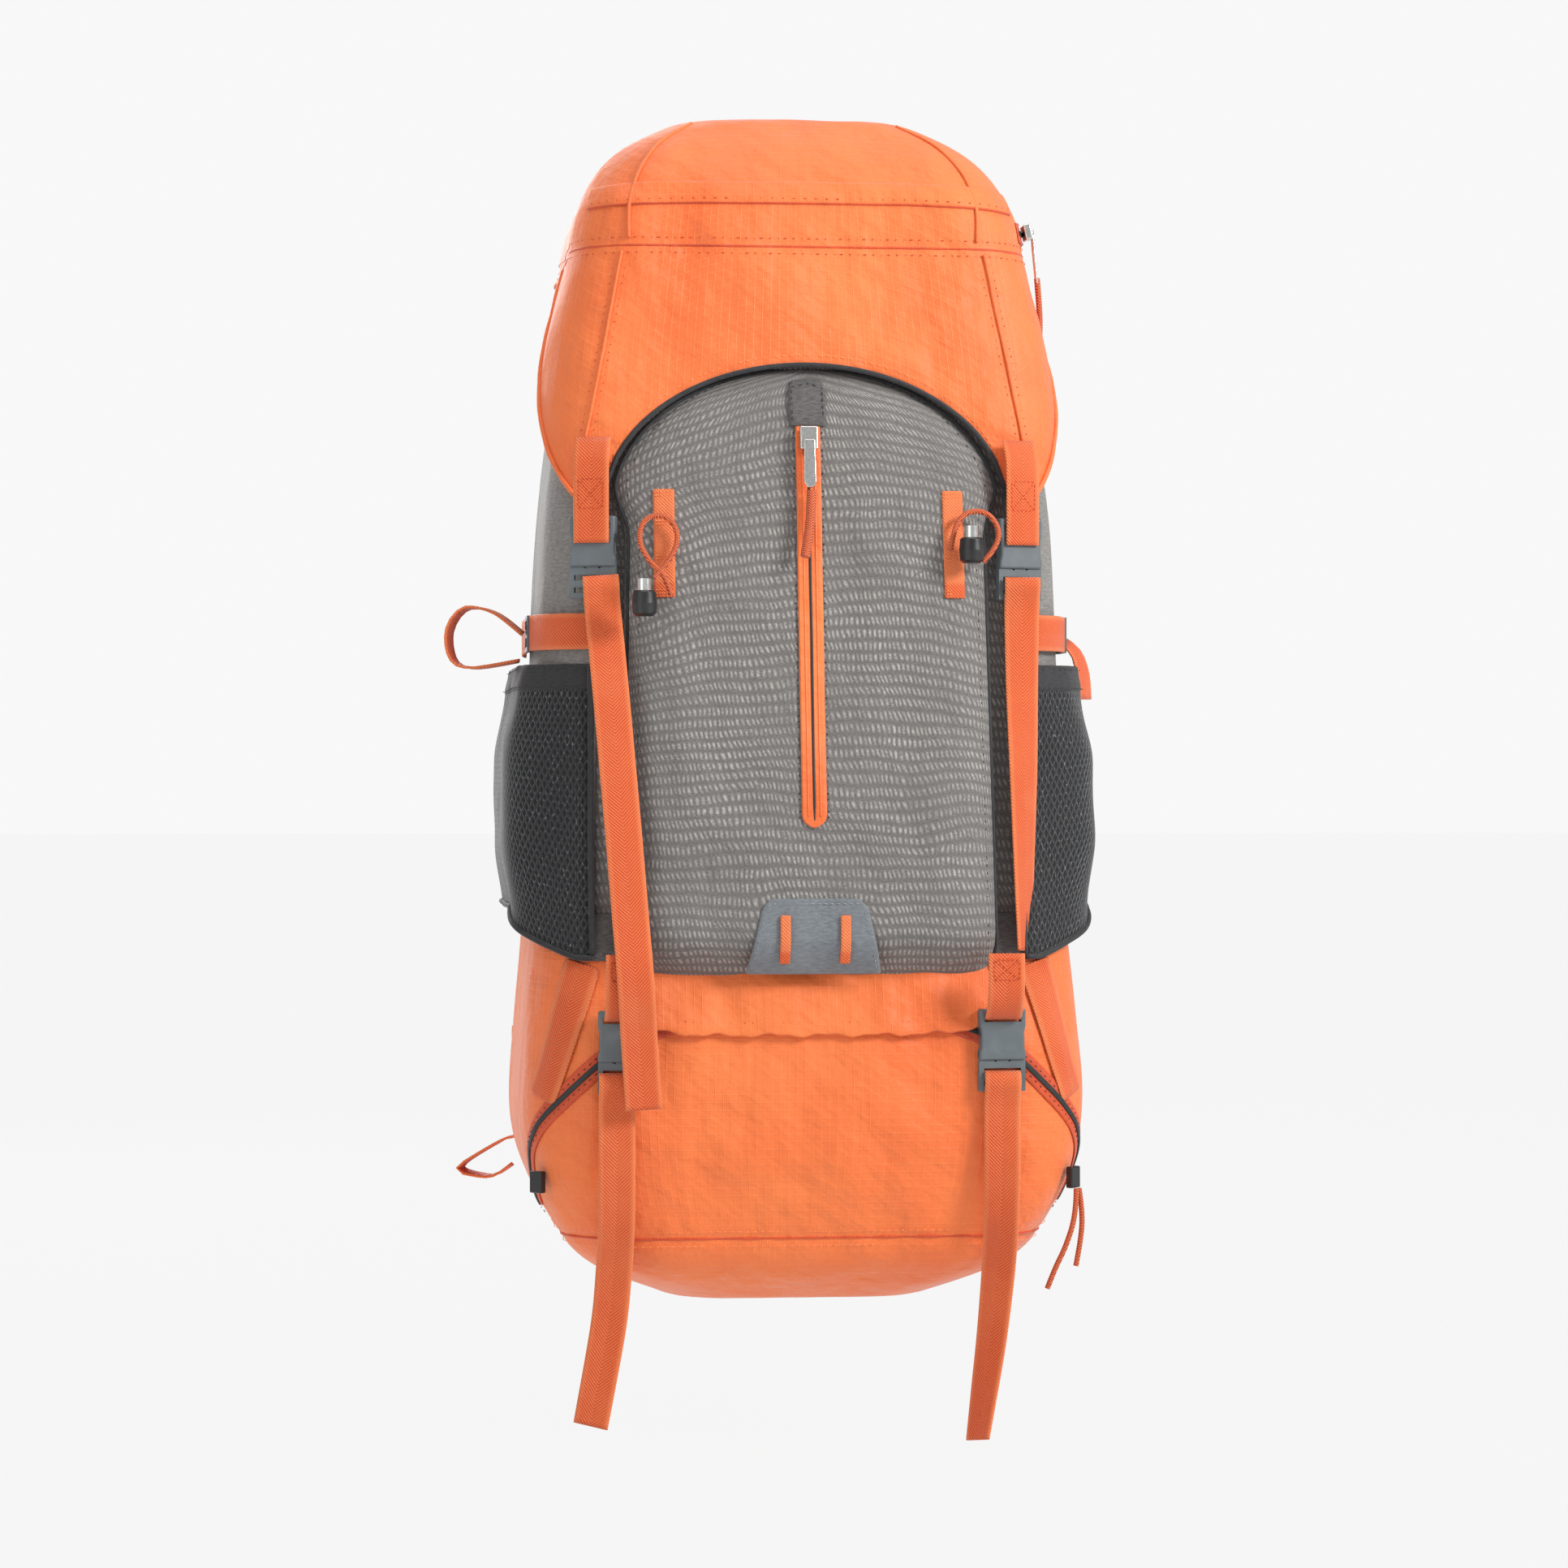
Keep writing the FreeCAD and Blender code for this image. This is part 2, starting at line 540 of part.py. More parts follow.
def make_cord_locks():
    """Sprung cord locks on the bungee loops and on the drawcord: barrels and buttons."""
    places = {"left": (-92, -129.6, 386), "right": (88, -124.6, 416), "top": (-57, -43, 592)}
    barrels = []
    for word, base in places.items():
        barrel = doc.addObject("PartDesign::Body", f"barrel_{word}")
        sketch = sketch_on(barrel, f"barrel_{word}_sketch", "XZ_Plane")
        outline(sketch, [(4.6, -7), (6.4, -5.5), (6.9, 0), (6.4, 6), (5.4, 7), (4.2, 7), (4.2, -1), (0, -1),
                         (0, -7)][::-1])
        turned = barrel.newObject("PartDesign::Revolution", f"barrel_{word}_turned")
        turned.Profile = sketch
        turned.ReferenceAxis = (sketch, ["V_Axis"])
        turned.Angle = 360
        barrels.append(placed(barrel, base))
        button = padded(f"button_{word}_body", "XY_Plane", [rounded(3.9)], "11", False)
        node(placed(button, (base[0], base[1], base[2] + 2.4)), f"cord_lock_button_{word}")
    group("cord_locks", barrels)
    left = [(-86, -122, 400), (-76, -119.4, 411), (-72, -117.4, 424), (-78, -115.6, 435), (-91, -115.6, 434),
            (-95, -117, 421), (-88, -119.8, 408), (-80, -121.4, 402), (-77, -123, 391)]
    tube("bungee_left", left, SIZES["cord_thick"])
    right = [(95, -119.6, 410), (102, -118.6, 417), (105, -117, 428), (98, -115.4, 438), (86, -115.4, 438),
             (79, -117, 428), (77, -119, 416)]
    tube("bungee_right", right, SIZES["cord_thick"])


def rounded(radius, sides=20):
    """A round outline of short straight edges."""
    return [(radius * math.cos(2 * math.pi * k / sides), radius * math.sin(2 * math.pi * k / sides))
            for k in range(sides)]


def make_mesh_pockets():
    """Open-topped stretch pockets on both flanks."""
    stations = list(MESH)
    outer = lofted("mesh_outside", stations, 0.0)
    inner = lofted("mesh_inside", stations, -1.2, {"mesh_hem": 2.0, "mesh_brim": 1.0})
    inside_bag = lofted("mesh_bag", ["waist", "floor", "chest", "neck"], SIZES["gap"])
    shell = cut("mesh_walls", cut("mesh_skin", outer, inner), inside_bag)
    for side, word in ((-1, "left"), (1, "right")):
        near, far = sorted((side * 120, side * 200))
        node(common(f"mesh_{word}", shell, box(f"mesh_cut_{word}", (near, -130, 180), (far, 91, 350))),
             f"mesh_pocket_{word}")


# ---------------------------------------------------------------- harness on the wearer's side
def make_harness():
    """Back pads, shoulder straps, hip belt, sternum strap and the haul loop."""
    pads = []
    for side in (-1, 1):
        edge = [(-34, 262), (34, 262), (38, 270), (38, 500), (30, 512), (-30, 512), (-38, 500), (-38, 270)]
        pad = padded(f"back_pad_{side + 1}", "XZ_Plane", [edge], "sizes.pad_thick")
        pads.append(placed(pad, (side * 58, SIZES["back"] + 7, 0)))
    lumbar = [(-62, 62), (62, 62), (70, 72), (70, 186), (56, 198), (-56, 198), (-70, 186), (-70, 72)]
    pads.append(placed(padded("lumbar", "XZ_Plane", [lumbar], "sizes.pad_thick"), (0, SIZES["back"] + 7, 0)))
    group("back_pads", pads)
    anchors = []
    lifters = []
    for side, word in ((-1, "left"), (1, "right")):
        path = [(98.4, 526), (118, 533), (142, 516), (156, 470), (160, 400), (158, 330), (152, 262), (149, 250)]
        body = strap(f"shoulder_{word}_body", "YZ_Plane", path, side * 66, "sizes.strap_pad_wide",
                     SIZES["strap_pad_thick"])
        node(body, f"shoulder_strap_{word}")
        route = [(155.6, 249), (155.6, 226), (150, 206), (139, 150), (134.5, 96), (132, 70), (106, 54),
                 (97.4, 47)]
        lean = math.radians(10)
        anchor = strap(f"shoulder_anchor_{word}", "YZ_Plane", route)
        base = (side * (66 + 249 * math.tan(lean)), 0, 0)
        anchors.append(placed(anchor, base, 10, (0, -side, 0)))
        lifters.append(strap(f"load_lifter_{word}", "YZ_Plane", [(97, 557), (118, 552), (141, 533)], side * 66))
    tail = [(-150, 80), (-158, 79), (-182, 65), (-183, 60), (-166, 57), (-154, 64)]
    anchors.append(strap("shoulder_tail", "XZ_Plane", tail, 88))
    group("shoulder_webbing", anchors)
    group("load_lifters", lifters)
    for side, word in ((-1, "left"), (1, "right")):
        path = [(side * 74, 102), (side * 104, 108), (side * 130, 126), (side * 142, 152), (side * 140, 182),
                (side * 128, 206)]
        wing = strap(f"hip_{word}_body", "XY_Plane", path, 122, "sizes.hip_pad_tall", SIZES["strap_pad_thick"])
        node(wing, f"hip_wing_{word}")
        web = [(side * 150.6, 160), (side * 148.6, 184), (side * 134, 216), (side * 112, 236),
               (side * 84, 244), (side * 50, 246)]
        belt = strap(f"hip_web_{word}_body", "XY_Plane", web, 122, "sizes.hip_webbing_wide")
        if side < 0:
            node(belt, "hip_webbing_left")
            continue
        end = strap("hip_tail", "XZ_Plane", [(152, 136), (157, 150), (166, 150), (197, 129)], 172)
        group("hip_webbing_right", [belt, end])
    loop = [(-31, 96.8), (-29, 116), (-15, 126.5), (15, 126.5), (29, 116), (31, 96.8)]
    node(strap("haul_body", "XY_Plane", loop, SIZES["haul_z"], "sizes.webbing_wide", 2.4), "haul_loop")
    halves = []
    for side in (-1, 1):
        path = [(side * 72, 168), (side * 34, 168.6), (side * 17, 171)]
        halves.append(strap(f"sternum_{side + 1}", "XY_Plane", path, 420))
    group("sternum_straps", halves)
    body = softened(padded("sternum_socket_body", "XZ_Plane", [block(-15, -12, 1, 12)], "7"), 1.4)
    pocketed(body, "sternum_mouth", "XY_Plane", [block(-9, -2.3, 2, 2.3)], "18")
    node(placed(body, (0, 165, 420)), "sternum_socket")
    prong = padded("sternum_prong_body", "XZ_Plane", [[(-8, -7), (1.6, -7), (1.6, -12), (15, -12), (15, 12),
                                                      (1.6, 12), (1.6, 7), (-8, 7)]], "4")
    node(placed(prong, (0, 165, 420)), "sternum_prongs")


make_bag()
make_frame()
make_collar()
make_lid()
make_buckles()
make_webbing()
make_diagonals()
make_pocket()
make_lower_zip()
make_cord_locks()
make_mesh_pockets()
make_harness()
doc.recompute()

for thing in nodes:
    hang = FreeCAD.Placement(Vector(0, -SIZES["haul_y"], -SIZES["haul_z"]), FreeCAD.Rotation())
    thing.Placement = hang.multiply(thing.Placement)
doc.recompute()

for thing in doc.Objects:
    if "Invalid" in thing.State or "Error" in thing.State:
        raise RuntimeError(f"{thing.Label} failed: {thing.State}")
os.makedirs("parts", exist_ok=True)
for thing in nodes:
    if thing.Shape.isNull() or not thing.Shape.isValid():
        raise RuntimeError(f"{thing.Label} has no valid shape")
    thing.Shape.exportStep(f"parts/{thing.Label}.step")
print(len(nodes), "nodes")
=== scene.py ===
"""The hiking backpack's looks: sewn cloth, webbing, zips, cords and plastic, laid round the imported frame."""

import math

import bpy
from mathutils import Matrix, Vector, noise


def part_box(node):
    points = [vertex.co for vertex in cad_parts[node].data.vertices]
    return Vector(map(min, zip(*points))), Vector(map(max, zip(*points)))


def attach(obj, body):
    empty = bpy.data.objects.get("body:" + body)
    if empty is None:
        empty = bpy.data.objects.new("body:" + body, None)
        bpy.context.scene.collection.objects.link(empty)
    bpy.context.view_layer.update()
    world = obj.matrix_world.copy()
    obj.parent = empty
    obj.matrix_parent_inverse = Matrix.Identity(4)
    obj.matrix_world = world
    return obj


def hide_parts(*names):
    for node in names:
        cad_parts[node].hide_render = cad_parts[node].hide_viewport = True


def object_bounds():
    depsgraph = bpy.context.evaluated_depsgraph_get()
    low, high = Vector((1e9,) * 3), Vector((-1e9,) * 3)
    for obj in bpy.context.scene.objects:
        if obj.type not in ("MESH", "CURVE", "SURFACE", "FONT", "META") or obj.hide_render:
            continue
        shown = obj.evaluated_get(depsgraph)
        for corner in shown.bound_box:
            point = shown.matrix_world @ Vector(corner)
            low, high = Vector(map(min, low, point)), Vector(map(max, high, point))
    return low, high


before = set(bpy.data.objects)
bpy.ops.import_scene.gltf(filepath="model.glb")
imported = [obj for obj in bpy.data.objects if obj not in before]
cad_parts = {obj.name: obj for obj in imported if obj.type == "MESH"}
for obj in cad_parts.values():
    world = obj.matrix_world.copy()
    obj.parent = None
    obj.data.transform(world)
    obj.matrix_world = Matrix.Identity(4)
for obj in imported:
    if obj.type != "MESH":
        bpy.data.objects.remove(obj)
cad_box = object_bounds()

# Places are given in millimetres from the middle of the pack's base, as the frame was drawn, and at() turns
# them into the frame's own metres.
base_low, base_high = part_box("lower_compartment")
MIDDLE = Vector((0.0, base_high[1] - 0.095, base_low[2]))
PACK, LID_BODY = "pack", "lid"
SIDES = (("left", -1), ("right", 1))


def at(x, y, z):
    return MIDDLE + Vector((x, y, z)) * 0.001


# ------------------------------------------------------------------ shapes that the cloth follows
# Each station: height, half width, how far the front stands forward, the back, the corner's radius.
LOWER = [(0, 72, 62, 80, 34), (20, 116, 96, 93, 40), (52, 143, 112, 95, 44), (92, 156, 120, 95, 46),
         (150, 155, 121, 95, 46), (216, 150, 108, 95, 44)]
BAG = [(200, 151, 110, 95, 44), (216, 150, 108, 95, 44), (340, 147, 98, 95, 42), (463, 140, 90, 95, 42),
       (566, 124, 78, 95, 40), (590, 120, 76, 93, 40)]
HOOD = [(440, 147, 96, 98, 42), (505, 145.5, 93, 98, 42), (582, 129, 84, 98, 40), (617, 121, 78, 94, 40),
        (646, 99, 58, 80, 38), (664, 68, 34, 58, 30)]


def station(table, z):
    """The plan sizes at a height, on a smooth curve through the table's rows."""
    z = min(max(z, table[0][0]), table[-1][0])
    k = next(i for i in range(len(table) - 1) if z <= table[i + 1][0])
    a, b = table[k], table[k + 1]
    span = b[0] - a[0]
    t = (z - a[0]) / span
    out = []
    for j in range(1, 5):
        rise = (b[j] - a[j]) / span
        before = (a[j] - table[k - 1][j]) / (a[0] - table[k - 1][0]) if k else rise
        after = (table[k + 2][j] - b[j]) / (table[k + 2][0] - b[0]) if k + 2 < len(table) else rise
        m0, m1 = (rise + before) / 2 * span, (rise + after) / 2 * span
        out.append((2 * t ** 3 - 3 * t ** 2 + 1) * a[j] + (t ** 3 - 2 * t ** 2 + t) * m0
                   + (3 * t ** 2 - 2 * t ** 3) * b[j] + (t ** 3 - t ** 2) * m1)
    return out


def plan(sizes, s):
    """The point and outward direction at s along the outline, from the front's middle to the right."""
    half, front, back, bend = sizes
    side = 1 if s >= 0 else -1
    s = abs(s)
    flat, arc, wall = half - bend, bend * math.pi / 2, front + back - 2 * bend
    if s <= flat:
        return side * s, -front, 0.0, -1.0
    s -= flat
    if s <= arc:
        a = s / bend
        return (side * (flat + bend * math.sin(a)), bend - front - bend * math.cos(a),
                side * math.sin(a), -math.cos(a))
    s -= arc
    if s <= wall:
        return side * half, bend - front + s, float(side), 0.0
    s -= wall
    if s <= arc:
        a = s / bend
        return (side * (flat + bend * math.cos(a)), back - bend + bend * math.sin(a),
                side * math.cos(a), math.sin(a))
    s -= arc
    return side * max(flat - s, 0.0), back, 0.0, 1.0


def round_length(sizes):
    """Half of the outline's length, from the front's middle to the back's."""
    half, front, back, bend = sizes
    return 2 * (half - bend) + math.pi * bend + front + back - 2 * bend


def crease(x, y, z, wide, tall, seed):
    """Cloth's uneven surface: soft folds of about the given width and height, from -1 to 1."""
    p = Vector((x / wide, y / wide, z / tall + seed))
    return noise.noise(p) * 0.75 + noise.noise(p * 2.3 + Vector((5.2, 1.3, 0))) * 0.35


def round_point(table, share, z):
    """s for a share of the way round at a height; a share over 1 comes round the back to the other side."""
    share = share - 2 if share > 1 else share
    return round_length(station(table, z)) * share


def wrap(table, s, z, out=0.0, folds=0.0, wide=38, tall=70, seed=0.0, crown=0.0):
    """A point on a body of cloth, in the frame: s round it, z up it, out from it."""
    sizes = station(table, z)
    x, y, nx, ny = plan(sizes, s)
    swell = crown * max(0.0, 1 - (x / sizes[0]) ** 2) if ny < -0.5 else 0.0
    out += folds * crease(x, y, z, wide, tall, seed) + swell
    return at(x + nx * out, y + ny * out, z)


def lower_at(s, z, out=0.0):
    fade = min(1.0, max(0.0, (222 - z) / 45))
    return wrap(LOWER, s, z, out, 3.0 * fade, 30, 80, 3.1, 4.0 * fade)


def bag_at(s, z, out=0.0):
    return wrap(BAG, s, z, out, 1.3, 40, 60, 7.7)


def hood_at(s, z, out=0.0):
    return wrap(HOOD, s, z, out, 2.4, 50, 42, 1.9, 2.0)


def pocket_half(z):
    """Half of the front pocket's width: straight sides under an arch that fills the lid's."""
    if z <= 428:
        return 104 - 4 * max(0.0, z - 204) / 224 - 5 * max(0.0, (204 - z) / 22) ** 2
    arch = 108.5 * math.sqrt(max(0.0, 1 - ((z - 440) / 78) ** 2)) if z > 440 else 108.5
    blend = min(1.0, (z - 428) / 24)
    return 100 + (arch - 100) * blend if z < 452 else arch


def pocket_front(z):
    """How far forward the pocket's middle stands."""
    if z >= 265:
        return 138 - 0.1602 * (z - 265)
    if z >= 204:
        return 138 + 4 * (265 - z) / 61
    return 142 - 13 * ((204 - z) / 22) ** 1.6


def pocket_at(x, z, out=0.0):
    """A point on the front pocket: it stands off the bag at its sides and is gently crowned between them."""
    half = max(pocket_half(z), 1.0)
    rim = station(BAG, z)[1] + 1.0
    share = min(abs(x) / half, 1.0)
    near_top = min(1.0, max(0.0, (518.5 - z) / 26))
    power = 9 - 4 * min(1.0, max(0.0, (z - 420) / 30))
    rise = (1 - share ** power) ** (0.6 + 0.05 * (9 - power)) * near_top ** 0.5
    fold = 1.7 * crease(x, 0, z, 34, 55, 4.4) + 0.6 * crease(x, 0, z, 12, 90, 8.4)
    front = rim + (pocket_front(z) - 1.0 - rim) * rise + fold * rise
    return at(x, -(front + out), z)


# ------------------------------------------------------------------ materials
class Shade:
    """A procedural material: a Principled shader and short calls that add nodes to it."""

    def __init__(self, name, coat=0.0, sheen=0.0, rough=0.6, metal=0.0):
        self.mat = bpy.data.materials.new(name)
        self.mat.use_nodes = True
        self.tree = self.mat.node_tree
        self.bsdf = self.tree.nodes["Principled BSDF"]
        self.bsdf.inputs["Roughness"].default_value = rough
        self.bsdf.inputs["Metallic"].default_value = metal
        self.bsdf.inputs["Coat Weight"].default_value = coat
        self.bsdf.inputs["Sheen Weight"].default_value = sheen
        self.bsdf.inputs["Sheen Roughness"].default_value = 0.4
        place = self.tree.nodes.new("ShaderNodeTexCoord")
        self.place, self.uv = place.outputs["Object"], place.outputs["UV"]
        self.creases = None

    def put(self, socket, value):
        if isinstance(value, bpy.types.NodeSocket):
            self.tree.links.new(value, socket)
        else:
            socket.default_value = value

    def maths(self, kind, a, b=0.0):
        node = self.tree.nodes.new("ShaderNodeMath")
        node.operation = kind
        self.put(node.inputs[0], a)
        self.put(node.inputs[1], b)
        return node.outputs[0]

    def plus(self, a, b):
        return self.maths("ADD", a, b)

    def times(self, a, b):
        return self.maths("MULTIPLY", a, b)

    def parts(self, source):
        node = self.tree.nodes.new("ShaderNodeSeparateXYZ")
        self.put(node.inputs[0], source)
        return node.outputs

    def join(self, x, y, z=0.0):
        node = self.tree.nodes.new("ShaderNodeCombineXYZ")
        for socket, value in zip(node.inputs, (x, y, z)):
            self.put(socket, value)
        return node.outputs[0]

    def noise(self, source, scale, detail=3.0, rough=0.5):
        node = self.tree.nodes.new("ShaderNodeTexNoise")
        self.put(node.inputs["Vector"], source)
        node.inputs["Scale"].default_value = scale
        node.inputs["Detail"].default_value = detail
        node.inputs["Roughness"].default_value = rough
        return node.outputs["Fac"]

    def cells(self, source, scale):
        node = self.tree.nodes.new("ShaderNodeTexVoronoi")
        self.put(node.inputs["Vector"], source)
        node.inputs["Scale"].default_value = scale
        return node.outputs["Distance"]

    def wave(self, value, per_metre):
        """A sine from 0 to 1 along a length in metres."""
        turns = self.times(value, per_metre * 2 * math.pi)
        return self.maths("MULTIPLY_ADD", self.maths("SINE", turns), 0.5)

    def range(self, value, low, high, to_low=0.0, to_high=1.0):
        node = self.tree.nodes.new("ShaderNodeMapRange")
        self.put(node.inputs[0], value)
        for socket, number in zip(node.inputs[1:5], (low, high, to_low, to_high)):
            socket.default_value = number
        return node.outputs[0]

    def mix(self, share, a, b):
        node = self.tree.nodes.new("ShaderNodeMix")
        node.data_type = "RGBA"
        self.put(node.inputs[0], share)
        self.put(node.inputs[6], a if isinstance(a, bpy.types.NodeSocket) else (*a, 1))
        self.put(node.inputs[7], b if isinstance(b, bpy.types.NodeSocket) else (*b, 1))
        return node.outputs[2]

    def wrinkled(self, deep):
        wide, tall = 26.0, 9.0
        x, y, z = self.parts(self.place)
        stretched = self.join(self.times(x, wide), self.times(y, wide), self.times(z, tall))
        slant = self.join(self.times(self.plus(x, z), wide * 0.7), self.times(y, wide * 0.6),
                          self.times(z, tall * 2))
        node = self.tree.nodes.new("ShaderNodeBump")
        node.inputs["Strength"].default_value = 0.8
        node.inputs["Distance"].default_value = deep
        self.put(node.inputs["Height"], self.plus(self.noise(stretched, 1.0, 3.0),
                                                  self.noise(slant, 1.0, 4.0)))
        self.creases = node.outputs[0]

    def finish(self, colour, height=None, depth=0.0005, rough=None, strength=0.6):
        plain = not isinstance(colour, bpy.types.NodeSocket)
        self.put(self.bsdf.inputs["Base Color"], (*colour, 1) if plain else colour)
        if height is not None:
            bump = self.tree.nodes.new("ShaderNodeBump")
            bump.inputs["Strength"].default_value = strength
            bump.inputs["Distance"].default_value = depth
            self.put(bump.inputs["Height"], height)
            if self.creases is not None:
                self.put(bump.inputs["Normal"], self.creases)
            self.put(self.bsdf.inputs["Normal"], bump.outputs[0])
        if rough is not None:
            self.put(self.bsdf.inputs["Roughness"], rough)
        return self.mat


def ripstop(name, light, dark):
    """Nylon with a fine ripstop grid, uneven dye and faint rubbed places."""
    threads_per_metre, ribs_per_metre = 1400, 230.0
    m = Shade(name, sheen=0.25, rough=0.55)
    u, v, _ = m.parts(m.uv)
    threads = m.plus(m.wave(u, threads_per_metre), m.wave(v, threads_per_metre))
    ribs = m.maths("MAXIMUM", *(m.range(m.wave(way, ribs_per_metre), 0.93, 1.0) for way in (u, v)))
    dye = m.noise(m.place, 9.0, 5.0, 0.6)
    fine = m.noise(m.place, 420.0, 2.0)
    share = m.range(m.plus(dye, m.times(fine, 0.25)), 0.42, 0.82)
    colour = m.mix(share, dark, light)
    paler = tuple(min(1.0, c * 1.12 + 0.012) for c in light)
    colour = m.mix(m.times(ribs, 0.3), colour, paler)
    height = m.plus(m.times(threads, 0.25), ribs)
    m.wrinkled(0.009)
    return m.finish(colour, height, 0.0002, m.range(dye, 0.3, 0.7, 0.49, 0.63))


def heather(name, dark, light):
    """Two-tone twill: wavy rows of short pale stitches on a darker ground, arched towards the top."""
    m = Shade(name, sheen=0.15, rough=0.8)
    u, v, _ = m.parts(m.uv)
    sway = m.noise(m.uv, 14.0, 2.0)
    middle = m.maths("SUBTRACT", u, 0.13)
    arch = m.times(m.times(middle, middle), m.range(v, 0.1, 0.3, 0.0, 2.6))
    row = m.plus(m.plus(v, arch), m.times(sway, 0.016))
    drift = m.noise(m.uv, 30.0, 2.0)
    column = m.plus(u, m.plus(m.times(drift, 0.012), m.times(row, 0.22)))
    rows, columns = m.wave(row, 150), m.wave(column, 370)
    jitter = m.noise(m.join(m.times(u, 420), m.times(row, 420)), 1.0, 2.0, 0.7)
    on = m.times(m.range(rows, 0.05, 0.75), m.range(columns, 0.15, 0.9))
    on = m.times(on, m.range(jitter, 0.32, 0.62, 0.1, 1.0))
    patches = m.range(m.noise(m.uv, 22.0, 2.0), 0.35, 0.7, 0.55, 1.0)
    flecks = m.noise(m.join(m.times(u, 900), m.times(v, 1500)), 1.0, 1.0)
    colour = m.mix(m.range(flecks, 0.3, 0.75), tuple(c * 0.72 for c in dark), tuple(c * 1.35 for c in dark))
    colour = m.mix(m.times(on, patches), colour, light)
    m.wrinkled(0.006)
    return m.finish(colour, m.plus(rows, m.times(on, 0.8)), 0.0003)


def plain_cloth(name, dark, light, scale=900):
    """Plain-woven cloth with a slight melange."""
    m = Shade(name, sheen=0.2, rough=0.75)
    u, v, _ = m.parts(m.uv)
    threads = m.times(m.wave(u, scale), m.wave(v, scale))
    flecks = m.noise(m.join(m.times(u, 260), m.times(v, 900)), 1.0, 2.0)
    broad = m.noise(m.place, 14.0, 3.0)
    share = m.range(m.plus(flecks, m.times(broad, 0.4)), 0.5, 0.95)
    m.wrinkled(0.006)
    return m.finish(m.mix(share, dark, light), m.plus(threads, m.times(flecks, 0.5)), 0.0002)


def webbing(name, mid, pale, dark):
    """Twill tape: slanting ribs with painted shade in the grooves between them, paler woven edges."""
    m = Shade(name, sheen=0.15, rough=0.6)
    u, v, _ = m.parts(m.uv)
    slant = m.plus(u, m.maths("ABSOLUTE", v))
    ribs = m.wave(slant, 520)
    cross = m.wave(u, 1500)
    edge = m.range(m.maths("ABSOLUTE", v), 0.0068, 0.0094)
    patch = m.noise(m.place, 30.0, 3.0)
    # dark is painted shade in the grooves between the ribs; mid is on the raised ribs.
    colour = m.mix(m.range(ribs, 0.15, 0.75), dark, mid)
    colour = m.mix(m.times(edge, 0.55), colour, pale)
    colour = m.mix(m.range(patch, 0.45, 0.85, 0.0, 0.3), colour, pale)
    return m.finish(colour, m.plus(ribs, m.times(cross, 0.3)), 0.00045, strength=0.8)


def cord_cloth(name, mid, dark):
    """Braided cord: crossing strands, with painted shade in the grooves between them, darkest where their
    relief is lowest.
    """
    m = Shade(name, sheen=0.2, rough=0.6)
    x, y, z = m.parts(m.place)
    a = m.wave(m.plus(m.plus(x, y), z), 620)
    b = m.wave(m.maths("SUBTRACT", m.maths("SUBTRACT", x, y), z), 620)
    weave = m.times(a, b)
    # The dark colour is painted shade where the strands' relief is low; the lit colour is on their crowns.
    return m.finish(m.mix(m.range(weave, 0.05, 0.4), dark, mid), weave, 0.0004)


def plastic(name, colour, rough=0.42):
    """Moulded plastic: a fine spark-eroded grain, slightly rubbed."""
    m = Shade(name, rough=rough, coat=0.05)
    grain = m.noise(m.place, 2600.0, 2.0)
    broad = m.noise(m.place, 120.0, 4.0)
    paler = tuple(min(1.0, c * 1.5 + 0.02) for c in colour)
    shown = m.mix(m.range(broad, 0.5, 0.8, 0.0, 0.36), colour, paler)
    return m.finish(shown, grain, 0.00008, m.range(broad, 0.3, 0.7, rough - 0.07, rough + 0.1))


def metal(name, colour, rough=0.22):
    """Plated zinc with fine scratches."""
    m = Shade(name, rough=rough, metal=1.0)
    x, y, z = m.parts(m.place)
    scratches = m.noise(m.join(m.times(x, 3000), m.times(y, 3000), m.times(z, 260)), 1.0, 2.0)
    return m.finish(colour, scratches, 0.00006, m.range(scratches, 0.3, 0.7, rough - 0.08, rough + 0.12))


def net(name):
    """Stretch mesh: small rounded holes between dark threads with pale flecks; the holes are painted
    near-black as painted shade.
    """
    m = Shade(name, sheen=0.35, rough=0.8)
    u, v, _ = m.parts(m.uv)
    a = m.wave(m.plus(u, m.times(v, 0.6)), 270)
    b = m.wave(m.maths("SUBTRACT", u, m.times(v, 0.6)), 270)
    web = m.maths("MAXIMUM", a, b)
    holes = m.range(web, 0.62, 0.86)
    flecks = m.range(m.noise(m.join(m.times(u, 900), m.times(v, 500)), 1.0, 2.0), 0.6, 0.72)
    thread = m.mix(flecks, (0.022, 0.023, 0.026), (0.2, 0.2, 0.21))
    # The near-black in the holes is painted shade of the pocket's inside seen through them; the mesh is not
    # cut open.
    colour = m.mix(holes, (0.004, 0.004, 0.005), thread)
    return m.finish(colour, holes, 0.0007, strength=0.9)


def spacer(name, dark, light):
    """Padded spacer mesh: a field of small round cells, with painted shade in their hollows."""
    m = Shade(name, sheen=0.3, rough=0.85)
    cells = m.cells(m.place, 560.0)
    broad = m.noise(m.place, 20.0, 2.0)
    # dark is painted shade in each cell's hollow; light is on the raised rims.
    colour = m.mix(m.range(cells, 0.1, 0.62), dark, light)
    return m.finish(colour, m.plus(cells, m.times(broad, 0.2)), 0.0008)


